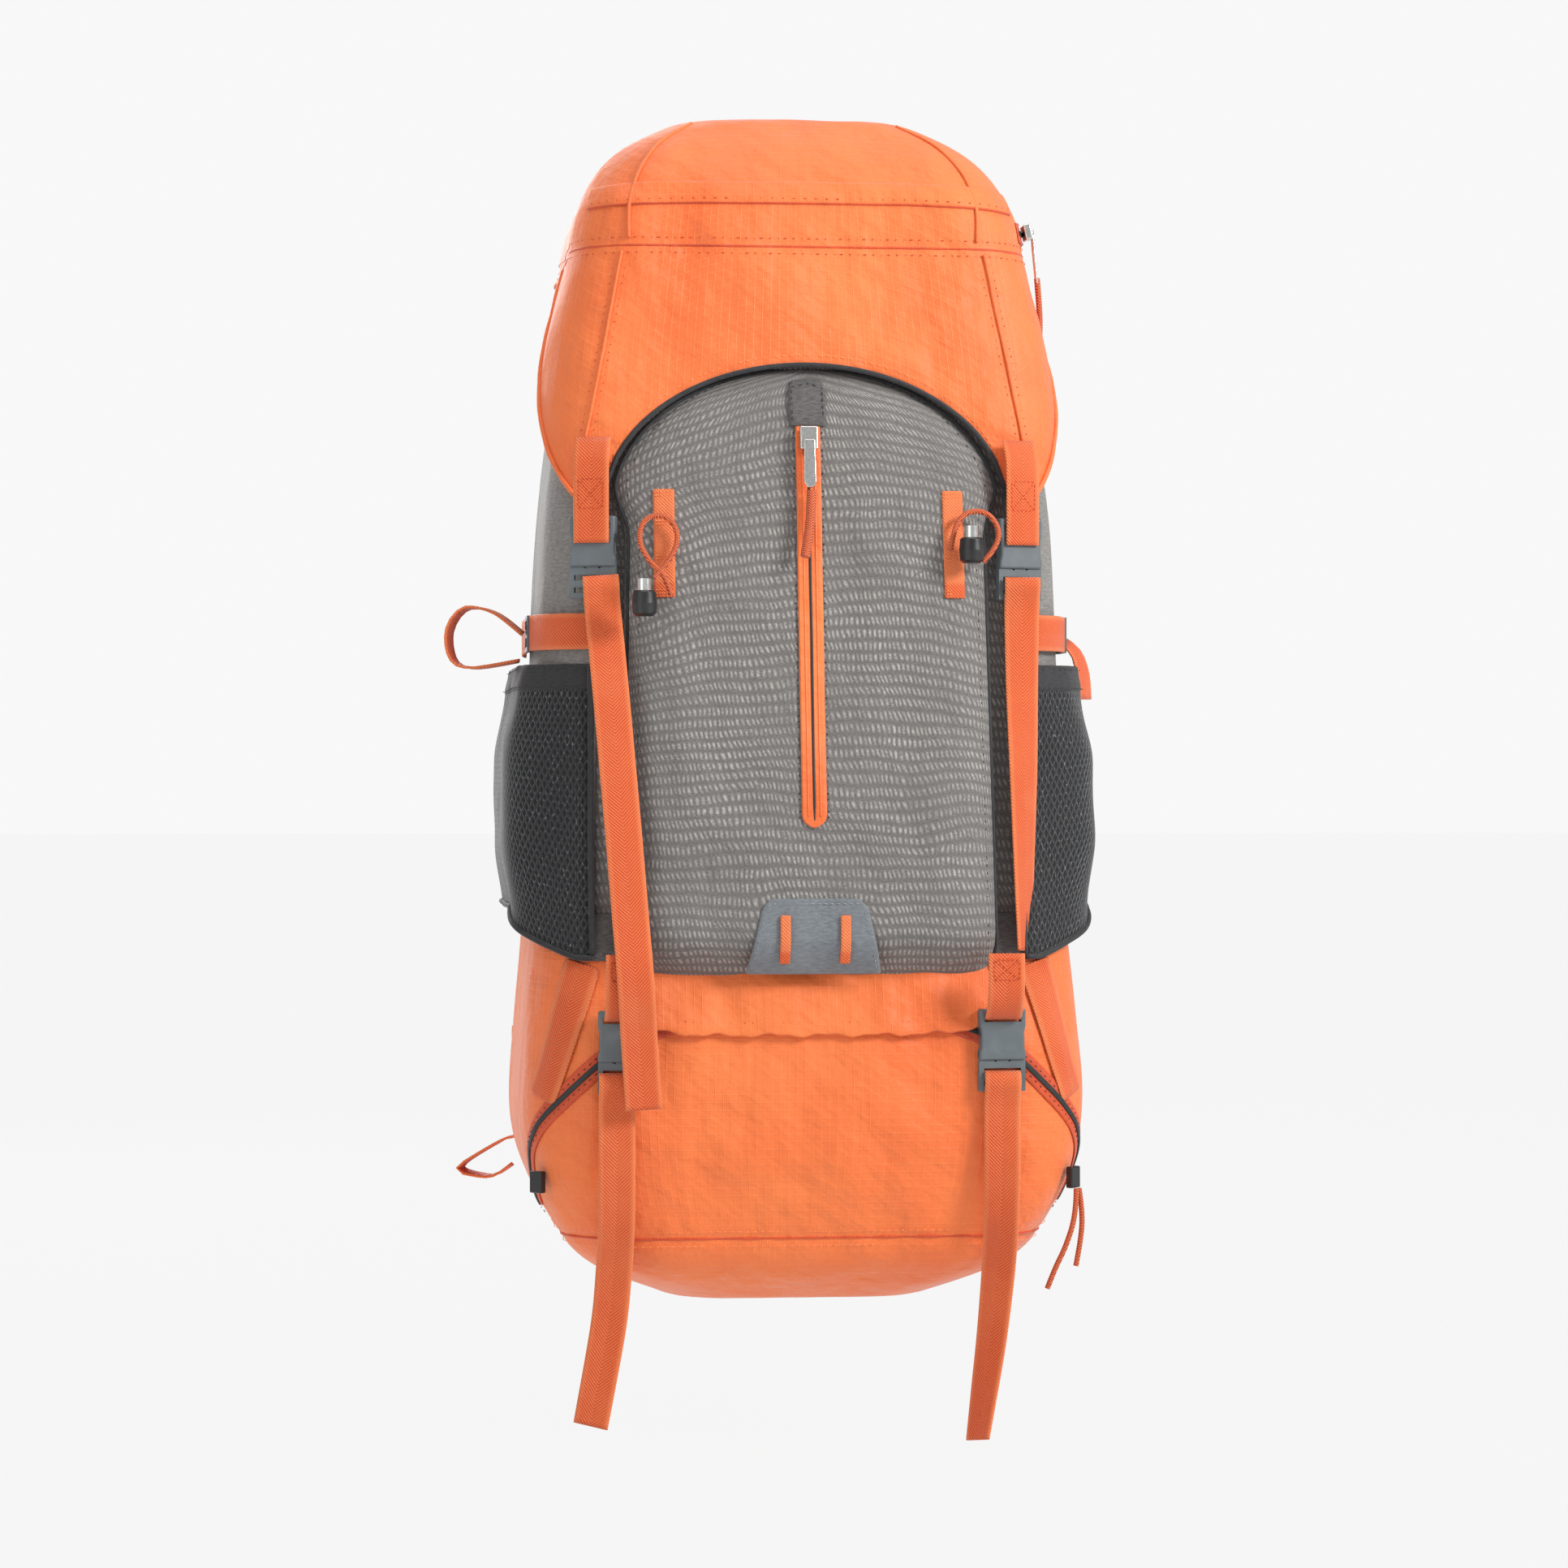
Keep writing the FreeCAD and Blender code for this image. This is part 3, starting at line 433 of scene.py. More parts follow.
ORANGE = ripstop("orange_ripstop", (0.9, 0.205, 0.048), (0.82, 0.14, 0.026))
ORANGE_DARK = ripstop("orange_shadow_cloth", (0.7, 0.085, 0.015), (0.5, 0.05, 0.01))
HEATHER = heather("heather_twill", (0.145, 0.136, 0.128), (0.47, 0.445, 0.42))
GREY = plain_cloth("grey_cloth", (0.17, 0.16, 0.15), (0.29, 0.275, 0.26))
GREY_DARK = plain_cloth("dark_grey_cloth", (0.065, 0.061, 0.058), (0.14, 0.132, 0.126))
LINING = plain_cloth("lining_cloth", (0.3, 0.3, 0.31), (0.4, 0.4, 0.41))
# The webbing's last colour is the painted shade in the grooves between its ribs.
WEB = webbing("orange_webbing", (0.88, 0.15, 0.03), (0.95, 0.27, 0.09), (0.6, 0.07, 0.012))
# The cord's second colour is the painted shade between its strands.
CORD = cord_cloth("orange_cord", (0.92, 0.2, 0.05), (0.3, 0.03, 0.01))
SLATE = plastic("slate_plastic", (0.115, 0.135, 0.145))
BLACK = plastic("black_plastic", (0.012, 0.012, 0.013), 0.36)
ZIP_BLACK = plastic("black_zip", (0.014, 0.014, 0.015), 0.5)
SILVER = metal("silver_metal", (0.72, 0.72, 0.7))
STAY = metal("stay_metal", (0.66, 0.67, 0.68), 0.35)
NET = net("pocket_mesh")
# The padding's first colour is the painted shade in the cells' hollows.
PAD = spacer("padded_mesh", (0.018, 0.018, 0.02), (0.045, 0.045, 0.05))
BINDING = plain_cloth("black_binding", (0.018, 0.018, 0.02), (0.035, 0.035, 0.038))
PATCH = plain_cloth("patch_cloth", (0.135, 0.15, 0.165), (0.21, 0.23, 0.25), 1300)
THREAD_ORANGE = plastic("orange_thread", (0.95, 0.3, 0.1), 0.6)
THREAD_RUST = plastic("rust_thread", (0.5, 0.06, 0.015), 0.6)
THREAD_DARK = plastic("dark_thread", (0.03, 0.03, 0.03), 0.6)
THREAD_GREY = plastic("grey_thread", (0.3, 0.31, 0.32), 0.6)


# ------------------------------------------------------------------ pieces
# The part's material slot for each cloth, where a piece names no other.
SLOTS = {"orange_ripstop": "orange_fabric", "orange_shadow_cloth": "orange_fabric",
         "heather_twill": "heather_fabric", "grey_cloth": "grey_fabric", "dark_grey_cloth": "grey_fabric",
         "lining_cloth": "collar_fabric", "orange_webbing": "orange_webbing", "black_zip": "zip_black",
         "pocket_mesh": "mesh", "padded_mesh": "padding", "patch_cloth": "patch"}


def piece(name, points, faces, material, body, stands_for=(), slot=None, uv=None, smooth=True):
    """A mesh object that rides on a body, and stands for the named CAD nodes."""
    mesh = bpy.data.meshes.new(name)
    mesh.from_pydata([tuple(p) for p in points], [], faces)
    if uv is not None:
        layer = mesh.uv_layers.new(name="cloth")
        for loop in mesh.loops:
            layer.data[loop.index].uv = uv[loop.vertex_index]
    for face in mesh.polygons:
        face.use_smooth = smooth
    mesh.materials.append(material)
    obj = bpy.data.objects.new(name, mesh)
    bpy.context.scene.collection.objects.link(obj)
    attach(obj, body)
    if stands_for:
        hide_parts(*stands_for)
    # Blender adds .001 to a name the frame already uses.
    slot = slot or SLOTS.get(material.name.split(".")[0])
    return obj


def cloth(name, rows, material, body, stands_for=(), slot=None, thick=1.4, around=False, fine=1):
    """A sheet of cloth through rows of points, as thick as it is sewn, with its weave in metres."""
    count = len(rows[0])
    points = [p for row in rows for p in row]
    middle = len(rows) // 2
    across = [0.0]
    for a, b in zip(rows[middle], rows[middle][1:]):
        across.append(across[-1] + (b - a).length)
    up = [0.0]
    for low, high in zip(rows, rows[1:]):
        up.append(up[-1] + (high[count // 2] - low[count // 2]).length)
    uv = [(across[j], up[i]) for i in range(len(rows)) for j in range(count)]
    faces = []
    for i in range(len(rows) - 1):
        for j in range(count if around else count - 1):
            k = (j + 1) % count
            faces.append((i * count + j, i * count + k, (i + 1) * count + k, (i + 1) * count + j))
    obj = piece(name, points, faces, material, body, stands_for, slot, uv)
    if thick:
        solid = obj.modifiers.new("thickness", "SOLIDIFY")
        solid.thickness = thick * 0.001
        solid.offset = -1
    if fine:
        smoother = obj.modifiers.new("smooth", "SUBSURF")
        smoother.levels = smoother.render_levels = fine
    return obj


def spread(low, high, count):
    """Evenly spaced numbers from low to high."""
    return [low + (high - low) * i / (count - 1) for i in range(count)]


def smoothed(points, step=0.004):
    """A smooth line through the points, in steps of about the given length, with its parameter."""
    out = []
    last = len(points) - 1
    for i in range(last):
        p0, p1, p2, p3 = points[max(i - 1, 0)], points[i], points[i + 1], points[min(i + 2, last)]
        count = max(2, int((p2 - p1).length / step))
        for k in range(count):
            t = k / count
            out.append(0.5 * ((2 * p1) + (p2 - p0) * t + (2 * p0 - 5 * p1 + 4 * p2 - p3) * t ** 2
                              + (3 * p1 - p0 - 3 * p2 + p3) * t ** 3))
    out.append(points[-1])
    return out


def sweep_faces(count, n):
    """The faces of a closed section of n points swept through count places, with its two end caps."""
    faces = []
    for i in range(count - 1):
        for j in range(n):
            k = (j + 1) % n
            faces.append((i * n + j, i * n + k, (i + 1) * n + k, (i + 1) * n + j))
    faces.append(tuple(range(n))[::-1])
    faces.append(tuple((count - 1) * n + j for j in range(n)))
    return faces


def heading(line, i):
    """The direction of a line of points at its point i."""
    return (line[min(i + 1, len(line) - 1)] - line[max(i - 1, 0)]).normalized()


def ribbon(name, line, side, body, stands_for=(), wide=20.0, thick=1.5, material=None, slot=None,
           twist=(0.0, 0.0)):
    """Webbing along a line: a flat woven tape with rounded edges. side is its width's direction."""
    line = smoothed([Vector(p) for p in line])
    count = len(line)
    section = [(-0.5, 0.0), (-0.485, 0.42), (-0.4, 0.5), (-0.2, 0.47), (0.0, 0.5), (0.2, 0.47), (0.4, 0.5),
               (0.485, 0.42), (0.5, 0.0), (0.485, -0.42), (0.4, -0.5), (0.0, -0.48), (-0.4, -0.5),
               (-0.485, -0.42)]
    points, uv, along = [], [], 0.0
    for i, p in enumerate(line):
        ahead = heading(line, i)
        turn = math.radians(twist[0] + (twist[1] - twist[0]) * i / (count - 1))
        across = (Vector(side) - ahead * Vector(side).dot(ahead)).normalized()
        across = Matrix.Rotation(turn, 3, ahead) @ across
        up = across.cross(ahead)
        along += (p - line[i - 1]).length if i else 0.0
        for a, b in section:
            points.append(p + across * (a * wide * 0.001) + up * (b * thick * 0.001))
            uv.append((along, a * 0.02))
    return piece(name, points, sweep_faces(count, len(section)), material or WEB, body, stands_for, slot, uv)


def tube_mesh(name, line, thick, material, body, slot=None, sides=8):
    """Piping or a seam roll along a line, as a mesh."""
    section = [(math.cos(2 * math.pi * k / sides) / 2,
                math.sin(2 * math.pi * k / sides) / 2) for k in range(sides)]
    points, uv, along = [], [], 0.0
    for i, p in enumerate(line):
        ahead = heading(line, i)
        across = ahead.orthogonal().normalized() if i == 0 else (last - ahead * last.dot(ahead)).normalized()
        last = across
        up = across.cross(ahead)
        along += (p - line[i - 1]).length if i else 0.0
        for j, (a, b) in enumerate(section):
            points.append(p + (across * a + up * b) * (thick * 0.001))
            uv.append((along, j / sides * thick * 0.003))
    return piece(name, points, sweep_faces(len(line), sides), material, body, (), slot, uv)


sewing = {}


def stitches(line, body, material=None, long=2.6, gap=1.5, thick=0.55):
    """Note a row of stitches along a line; all of one colour on one body become one piece."""
    sewing.setdefault((body, (material or THREAD_ORANGE).name), []).append((line, long, gap, thick))


def sew():
    """Make the noted stitches: small rounded lengths of thread."""
    for (body, colour), rows in sewing.items():
        points, faces = [], []
        for line, long, gap, thick in rows:
            walked, due = 0.0, gap * 0.0005
            for a, b in zip(line, line[1:]):
                run = (b - a).length
                while run and walked + run >= due + long * 0.001:
                    start = a + (b - a) * max(0.0, min(1.0, (due - walked) / run))
                    end = a + (b - a) * ((due + long * 0.001 - walked) / run)
                    ahead = (b - a).normalized()
                    across = ahead.orthogonal().normalized()
                    up = across.cross(ahead)
                    n = len(points)
                    points.append(start)
                    for share in (0.2, 0.8):
                        for k in range(6):
                            a6 = k * math.pi / 3
                            points.append(start.lerp(end, share) + (across * math.cos(a6) + up * math.sin(a6))
                                          * (thick * 0.0005))
                    points.append(end)
                    for k in range(6):
                        m = (k + 1) % 6
                        faces.append((n, n + 1 + m, n + 1 + k))
                        faces.append((n + 1 + k, n + 1 + m, n + 7 + m, n + 7 + k))
                        faces.append((n + 13, n + 7 + k, n + 7 + m))
                    due += (long + gap) * 0.001
                walked += run
        if points:
            piece(f"stitches_{body}_{colour}", points, faces, bpy.data.materials[colour], body)


def tack(centre, right, up, wide, tall, body):
    """A sewn box with a cross in it, where webbing is fixed."""
    right, up = Vector(right).normalized() * (wide * 0.0005), Vector(up).normalized() * (tall * 0.0005)
    a, b, c, d = centre - right - up, centre + right - up, centre + right + up, centre - right + up
    for line in ((a, b), (b, c), (c, d), (d, a), (a, c), (b, d)):
        stitches(list(line), body, THREAD_RUST, 1.6, 0.9, 0.5)


def moulded(name, outlines, body):
    """Slabs of moulded plastic with rounded edges, in the plane where the hip belt closes."""
    points, faces = [], []
    for corners, low, high in outlines:
        n, count = len(points), len(corners)
        for level in (low, high):
            points += [at(a, 246 - level, 122 + b) for a, b in corners]
        faces.append(tuple(range(n, n + count))[::-1])
        faces.append(tuple(range(n + count, n + 2 * count)))
        faces += [(n + k, n + (k + 1) % count, n + count + (k + 1) % count,
                   n + count + k) for k in range(count)]
    obj = piece(name, points, faces, BLACK, body, (), "black_plastic", smooth=False)
    edges = obj.modifiers.new("rounded", "BEVEL")
    edges.width = 0.0008
    edges.segments = 3


def s_at(sizes, x):
    """How far round the outline the front's or the corner's point at x lies."""
    half, bend = sizes[0], sizes[3]
    flat = half - bend
    if abs(x) <= flat:
        return x
    return math.copysign(flat + bend * math.asin(min(1.0, (abs(x) - flat) / bend)), x)


def band(name, surface, path, wide, out, body, material=None, stands_for=(), thick=1.2, slot=None):
    """Tape laid on a body of cloth along a path of (s, z), following its surface."""
    path = [Vector((p[0], p[1], 0)) for p in path]
    line = [path[0]]
    for a, b in zip(path, path[1:]):
        count = max(1, int((b - a).length / 5.0))
        line += [a.lerp(b, (k + 1) / count) for k in range(count)]
    softened = [line[0]] + [(a + b * 2 + c) / 4 for a, b, c in zip(line, line[1:], line[2:])] + [line[-1]]
    rows = []
    for i, p in enumerate(softened):
        ahead = heading(softened, i)
        across = Vector((ahead.y, -ahead.x, 0))
        rows.append([surface(*(p + across * (wide / 2 * t))[:2], out) for t in (-1, -0.5, 0, 0.5, 1)])
    obj = cloth(name, rows, material or WEB, body, stands_for, slot, thick)
    layer = obj.data.uv_layers[0].data
    middle = sum((rows[0][k + 1] - rows[0][k]).length for k in range(4)) / 2
    for spot in layer:
        spot.uv = (spot.uv[1], spot.uv[0] - middle)
    return obj


def run(surface, path, out, step=2.0):
    """Points along a path of (s, z) on a surface."""
    line = []
    for a, b in zip(path, path[1:]):
        count = max(1, int(math.dist(a, b) / step))
        line += [surface(a[0] + (b[0] - a[0]) * k / count, a[1] + (b[1] - a[1]) * k / count,
                         out) for k in range(count)]
    return line + [surface(*path[-1], out)]


# ------------------------------------------------------------------ camera, light and floor
scene = bpy.context.scene
scene.view_settings.view_transform = "Standard"
TURN = math.radians(6)
aim = at(-8.6, -60, 288)
lens = bpy.data.cameras.new("camera")
lens.lens = 100
camera = bpy.data.objects.new("camera", lens)
scene.collection.objects.link(camera)
camera.location = aim + Vector((-math.sin(TURN), -math.cos(TURN), 0)) * 2.44
camera.rotation_euler = (math.pi / 2, 0, -TURN)
scene.camera = camera

world = bpy.data.worlds.new("studio")
world.use_nodes = True
sky = world.node_tree
glow = sky.nodes["Background"]
glow.inputs["Strength"].default_value = 0.42
paper_glow = sky.nodes.new("ShaderNodeBackground")
paper_glow.inputs["Color"].default_value = (0.94, 0.94, 0.94, 1)
seen = sky.nodes.new("ShaderNodeLightPath")
either = sky.nodes.new("ShaderNodeMixShader")
sky.links.new(seen.outputs["Is Camera Ray"], either.inputs[0])
glow.inputs["Color"].default_value = (1, 1, 1, 1)
sky.links.new(glow.outputs[0], either.inputs[1])
sky.links.new(paper_glow.outputs[0], either.inputs[2])
sky.links.new(either.outputs[0], sky.nodes["World Output"].inputs["Surface"])
scene.world = world


def lamp(name, place, size, power):
    """A large soft light aimed at the pack."""
    light = bpy.data.lights.new(name, "AREA")
    light.shape = "DISK"
    light.size = size
    light.energy = power
    obj = bpy.data.objects.new(name, light)
    scene.collection.objects.link(obj)
    obj.location = at(*place)
    obj.rotation_euler = (at(0, 0, 300) - obj.location).to_track_quat("-Z", "Y").to_euler()


lamp("key", (1500, -1300, 1300), 0.7, 40)
lamp("fill", (-1500, -1500, 700), 1.6, 7)
lamp("top", (0, -200, 1900), 1.4, 9)
lamp("back", (-600, 1900, 1100), 1.4, 30)

floor_shade = Shade("studio_paper", rough=0.9)
floor_shade.bsdf.inputs["Emission Color"].default_value = (1, 1, 1, 1)
floor_shade.bsdf.inputs["Emission Strength"].default_value = 0.91
floor_shade.bsdf.inputs["Specular IOR Level"].default_value = 0.0
paper = floor_shade.finish((0.008, 0.008, 0.008))
floor_z = cad_box[0][2] - 0.012
floor_mesh = bpy.data.meshes.new("floor")
floor_mesh.from_pydata([(x, y, floor_z) for x, y in ((-30, -30), (30, -30), (30, 30), (-30, 30))], [],
                       [(0, 1, 2, 3)])
floor_mesh.materials.append(paper)
floor = bpy.data.objects.new("floor", floor_mesh)
scene.collection.objects.link(floor)


# ------------------------------------------------------------------ cords
def cord(name, points, diameter, body, stands_for=()):
    """A round cord as one smooth open spline, riding on a body. Sizes in millimetres."""
    line = [at(*p) for p in points]
    curve = bpy.data.curves.new(name, "CURVE")
    curve.dimensions = "3D"
    curve.bevel_depth = diameter * 0.0005
    curve.bevel_resolution = 3
    curve.use_fill_caps = True
    curve.resolution_u = 8
    spline = curve.splines.new("NURBS")
    spline.points.add(len(line) - 1)
    for spot, p in zip(spline.points, line):
        spot.co = (*p, 1)
    spline.order_u = 3
    spline.use_endpoint_u = True
    curve.materials.append(CORD)
    obj = bpy.data.objects.new(name, curve)
    bpy.context.scene.collection.objects.link(obj)
    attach(obj, body)
    if stands_for:
        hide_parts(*stands_for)


cord("front_zip_cord", [(0.5, -117.4, 448.6), (0.2, -118.6, 437), (-1.4, -120.8, 424), (-3.6, -123.2, 412)],
     5.5,
     "front_tab", ["front_zip_pull"])
cord("bungee_cord_left", [(-86, -122, 400), (-76, -119.4, 411), (-72, -117.4, 424), (-78, -115.6, 435),
                          (-91, -115.6, 434), (-95, -117, 421), (-88, -119.8, 408), (-80, -121.4, 402),
                          (-77, -123, 391)], 3, PACK, ["bungee_left"])
cord("bungee_cord_right", [(95, -119.6, 410), (102, -118.6, 417), (105, -117, 428), (98, -115.4, 438),
                           (86, -115.4, 438), (79, -117, 428), (77, -119, 416)], 3, PACK,
     ["bungee_right"])
cord("collar_drawcord", [(-47.5, -47, 594), (-50, -54, 600), (-42, -63, 600), (-28, -67, 592),
                         (0, -66.5, 589),
                         (60, -65.5, 590), (110, -68, 590), (121, -52, 590), (118, 0, 589), (119, 50, 590),
                         (118.5, 72, 590), (105, 87.5, 590), (50, 86.5, 589), (0, 86, 590), (-50, 86.5, 589),
                         (-105, 87.5, 590), (-118.5, 72, 590), (-119, 50, 590), (-118, 0, 589),
                         (-121, -52, 590),
                         (-110, -68, 590), (-88, -67, 592), (-74, -63, 600), (-66, -54, 600),
                         (-66.5, -47, 594)],
     3, PACK, ["drawcord"])

# Pull cords that only show: two on the lower zip's right slider, one on the lid zip's metal tab.
cord("lower_pull_front", [(149.5, -104.5, 64), (149, -107, 50), (143, -108, 32), (137, -107, 20),
                          (133, -106, 9)], 3,
     "lower_slider_right", ())
cord("lower_pull_side", [(151.5, -101.5, 64), (153.5, -103, 50), (152, -103.5, 34), (149.5, -103, 21)], 3,
     "lower_slider_right", ())
cord("lid_pull", [(136.4, -50, 574), (137.4, -50.4, 561), (138, -51, 549), (137.4, -52, 537)], 3.4,
     "lid_slider",
     ())
ribbon("lid_pull_tab", [at(133.4, -50, 601), at(134.4, -50, 590), at(136.2, -50, 571)], (0, 1, 0),
       "lid_slider",
       wide=5, thick=1.4, material=SILVER, slot="silver_metal")

# ------------------------------------------------------------------ lower compartment
SPAN = 96
rows = []
for shrink in (0.001, 0.35, 0.66, 0.9):
    sizes = station(LOWER, 0)
    ring = []
    for k in range(SPAN):
        x, y, _, _ = plan(sizes, round_length(sizes) * (2 * k / SPAN - 1))
        ring.append(at(x * shrink, 9 + (y - 9) * shrink, 0.6 * (1 - shrink)))
    rows.append(ring)
for z in (0.5, 3, 7, 12, 18, 24, 30, 35, 39, 43, 48, 55, 63, 72, 82, 92, 102, 112, 122, 132, 142, 152, 163,
          175, 188, 200, 209, 214, 216.5, 218):
    pull = -1.6 if z == 39 else -1.2 * max(0, z - 214)
    length = round_length(station(LOWER, z))
    rows.append([lower_at(length * (2 * k / SPAN - 1), z, pull) for k in range(SPAN)])
cloth("lower_bag", rows, ORANGE, PACK, ["lower_compartment"], around=True)
length = round_length(station(LOWER, 39))
tube_mesh("base_seam", run(lower_at, [(-length, 39), (length, 39)], -1.2), 1.6, ORANGE_DARK, PACK)
for z in (35.0, 43.0):
    length = round_length(station(LOWER, z))
    stitches(run(lower_at, [(-length, z), (length, z)], 0.4), PACK)

# The flap over the lower zip: a doubled band with a turned hem, cut away at both ends.
def flap_hem(k):
    """The flap's straight-sewn lower edge at a share of its half width."""
    return 151 + 7 * abs(k) ** 6


flap_rows = []
for t in spread(0, 1, 12):
    row = []
    for k in spread(-1, 1, 90):
        low = flap_hem(k) + 0.8 * math.sin(k * 21) + 0.5 * math.sin(k * 47 + 1)
        z = low + (206 - low) * t
        lift = 3.6 * (1 - t) ** 1.5 + 0.9 + (0.7 if t < 0.14 else 0)
        row.append(lower_at(k * 100, z, lift))
    flap_rows.append(row)
cloth("lower_flap", flap_rows, ORANGE, PACK, (), thick=2.2)
for up in (4.0, 7.0):
    stitches([lower_at(k * 98, flap_hem(k) + up, 4.0) for k in spread(-0.82, 0.82, 110)], PACK, THREAD_RUST)

# The lower zip comes out from under the flap and runs down round both ends.
ZIP_PATH = [(0, 160), (76, 158), (100, 149), (117, 135), (135, 118), (153, 102), (166, 86), (168, 70),
            (166, 54)]
for name, side in SIDES:
    path = [(side * s, z) for s, z in ZIP_PATH]
    band(f"lower_zip_tape_{name}", lower_at, path, 12, 0.7, PACK, ORANGE_DARK, ["lower_zip"], 1.0)
    band(f"lower_zip_coil_{name}", lower_at, path, 3.0, 1.6, PACK, ZIP_BLACK, (), 1.3)
    for off in (-5.2, 5.2):
        stitches(run(lower_at, [(s, z + off * 0.8) for s, z in path], 0.8), PACK, THREAD_DARK)

length = round_length(station(LOWER, 216))
tube_mesh("waist_seam", [lower_at(length * t, 216, -0.5) for t in spread(-1, 1, 200)], 1.8, ORANGE_DARK, PACK)
stitches([lower_at(length * t, 211, 0.1) for t in spread(-1, 1, 320)], PACK, THREAD_RUST)

# ------------------------------------------------------------------ bag body
def panel(name, low, high, material, nodes, count=26):
    """Part of the bag's wall, between two shares of the way round."""
    rows = []
    for z in spread(209, 592, 30):
        tuck = -4.0 * max(0.0, (216 - z) / 8)
        rows.append([bag_at(round_point(BAG, f, z), z, tuck) for f in spread(low, high, count)])
    cloth(name, rows, material, PACK, nodes)


panel("bag_front", -0.262, 0.262, HEATHER, ["front_panel"])
panel("bag_side_right", 0.255, 0.775, GREY, ["side_panel_right"])
panel("bag_side_left", -0.775, -0.255, GREY, ["side_panel_left"])
panel("bag_back", 0.768, 1.232, GREY_DARK, ["back_panel"], count=33)
for name, side in SIDES:
    for place, share in (("front", 0.258), ("back", 0.771)):
        line = [bag_at(round_length(station(BAG, z)) * share * side, z, 0.9) for z in spread(216, 588, 130)]
        tube_mesh(f"bag_piping_{name}_{place}", line, 2.4, GREY_DARK, PACK)
    for share in (0.285, 0.745):
        stitches([bag_at(round_length(station(BAG, z)) * share * side, z, 0.2)
                  for z in spread(216, 588, 180)], PACK, THREAD_GREY)

# The wall's cloth laps down over the lower compartment in front of each mesh pocket.
for name, side in SIDES:
    rows = []
    for t in spread(0, 1, 12):
        z_row = 191.5 + 26 * t
        tuck = 1.4 - 1.2 * max(0.0, (t - 0.9) / 0.1)
        rows.append([lower_at(side * s, z_row, tuck) for s in spread(78, 121, 16)])
    cloth(f"wall_hem_{name}", rows if side > 0 else [row[::-1] for row in rows], GREY_DARK, PACK, (),
          thick=1.0)
    stitches([lower_at(side * s, 195, 1.9) for s in spread(79, 120, 34)], PACK, THREAD_GREY)

# ------------------------------------------------------------------ front pocket
EDGE = sorted({round(math.copysign(1 - (1 - abs(t)) ** 2.1, t), 4) for t in spread(-1, 1, 61)})
rows = []
POCKET_ROWS = [180, 181.5, 184, 188, 193, 199, 205, *spread(213, 446, 34), 452, 459, 467, 475, 483, 490, 496,
               501, 505, 508.5, 511.5, 514, 516, 517.4, 518]
for z in POCKET_ROWS:
    close = 1.0 if z > 204 else ((z - 180) / 24) ** 0.42
    row = []
    for u in EDGE:
        x = u * max(pocket_half(z), 2.0)
        surface = pocket_at(x, z)
        rim = at(x, -(station(BAG, z)[1] + 1.0), z)
        row.append(rim.lerp(surface, close))
    rows.append(row)
cloth("pocket_shell", rows, HEATHER, PACK, ["front_pocket"])


def pocket_rim(share, out, z_low=190, z_high=513, count=150):
    """A line up one side of the pocket, over the arch and down the other."""
    left = [pocket_at(-share * pocket_half(z), z, out) for z in spread(z_low, z_high, count)]
    right = [pocket_at(share * pocket_half(z), z, out) for z in spread(z_high, z_low, count)]
    return left + right


tube_mesh("pocket_piping", pocket_rim(0.985, 0.6, 184, 516.5), 2.2, BINDING, PACK, "zip_black")
stitches(pocket_rim(0.93, 0.1), PACK, THREAD_DARK)

ZIP_TOP, ZIP_END = 492, 264


def strip(name, half_at, z_low, z_high, out, material, nodes=(), count=60, thick=1.0, columns=7, centre=0.0,
          slot=None):
    """A flat piece sewn on the pocket: its half width is given at each height."""
    rows = [[pocket_at(centre + half_at(z) * t, z, out) for t in spread(-1, 1, columns)]
            for z in spread(z_low, z_high, count)]
    return cloth(name, rows, material, PACK, nodes, slot, thick)


strip("front_zip_tape", lambda z: min(7.0, math.sqrt(max(0.3, 7.0 ** 2 - max(0, 271 - z) ** 2))), ZIP_END,
      ZIP_TOP,
      1.7, ORANGE, ["front_zip"], count=90, thick=1.6, slot="zip_orange")
strip("front_zip_coil", lambda z: 0.75 if z > 274 else 0.4, 268, ZIP_TOP, 2.3, ZIP_BLACK, columns=3)
for name, side in SIDES:
    tube_mesh(f"front_zip_fold_{name}", [pocket_at(side * 3.4, z, 1.7) for z in spread(270, ZIP_TOP, 110)],
              1.0, ORANGE, PACK, "zip_orange")
    stitches([pocket_at(side * 7.9, z, 0.2) for z in spread(268, ZIP_TOP, 160)], PACK, THREAD_DARK, 1.3, 2.0,
             0.7)

strip("zip_garage", lambda z: 10.5 - max(0, z - 505) ** 1.2 * 0.25, 485, 512, 2.6, GREY_DARK, count=16,
      thick=2.2,
      slot="heather_fabric")
stitches([pocket_at(x, z, 3.3) for x, z in [(-8.6, 487), (-8.6, 497), (-8.6, 507), (0, 509.5), (8.6, 507),
                                            (8.6, 497), (8.6, 487)]], PACK, THREAD_DARK)


def patch_half(z):
    """Half of the wear patch's width: a trapezoid with rounded upper corners."""
    return 37 - 9 * (z - 186) / 40 - 4 * max(0.0, (z - 219) / 7) ** 2


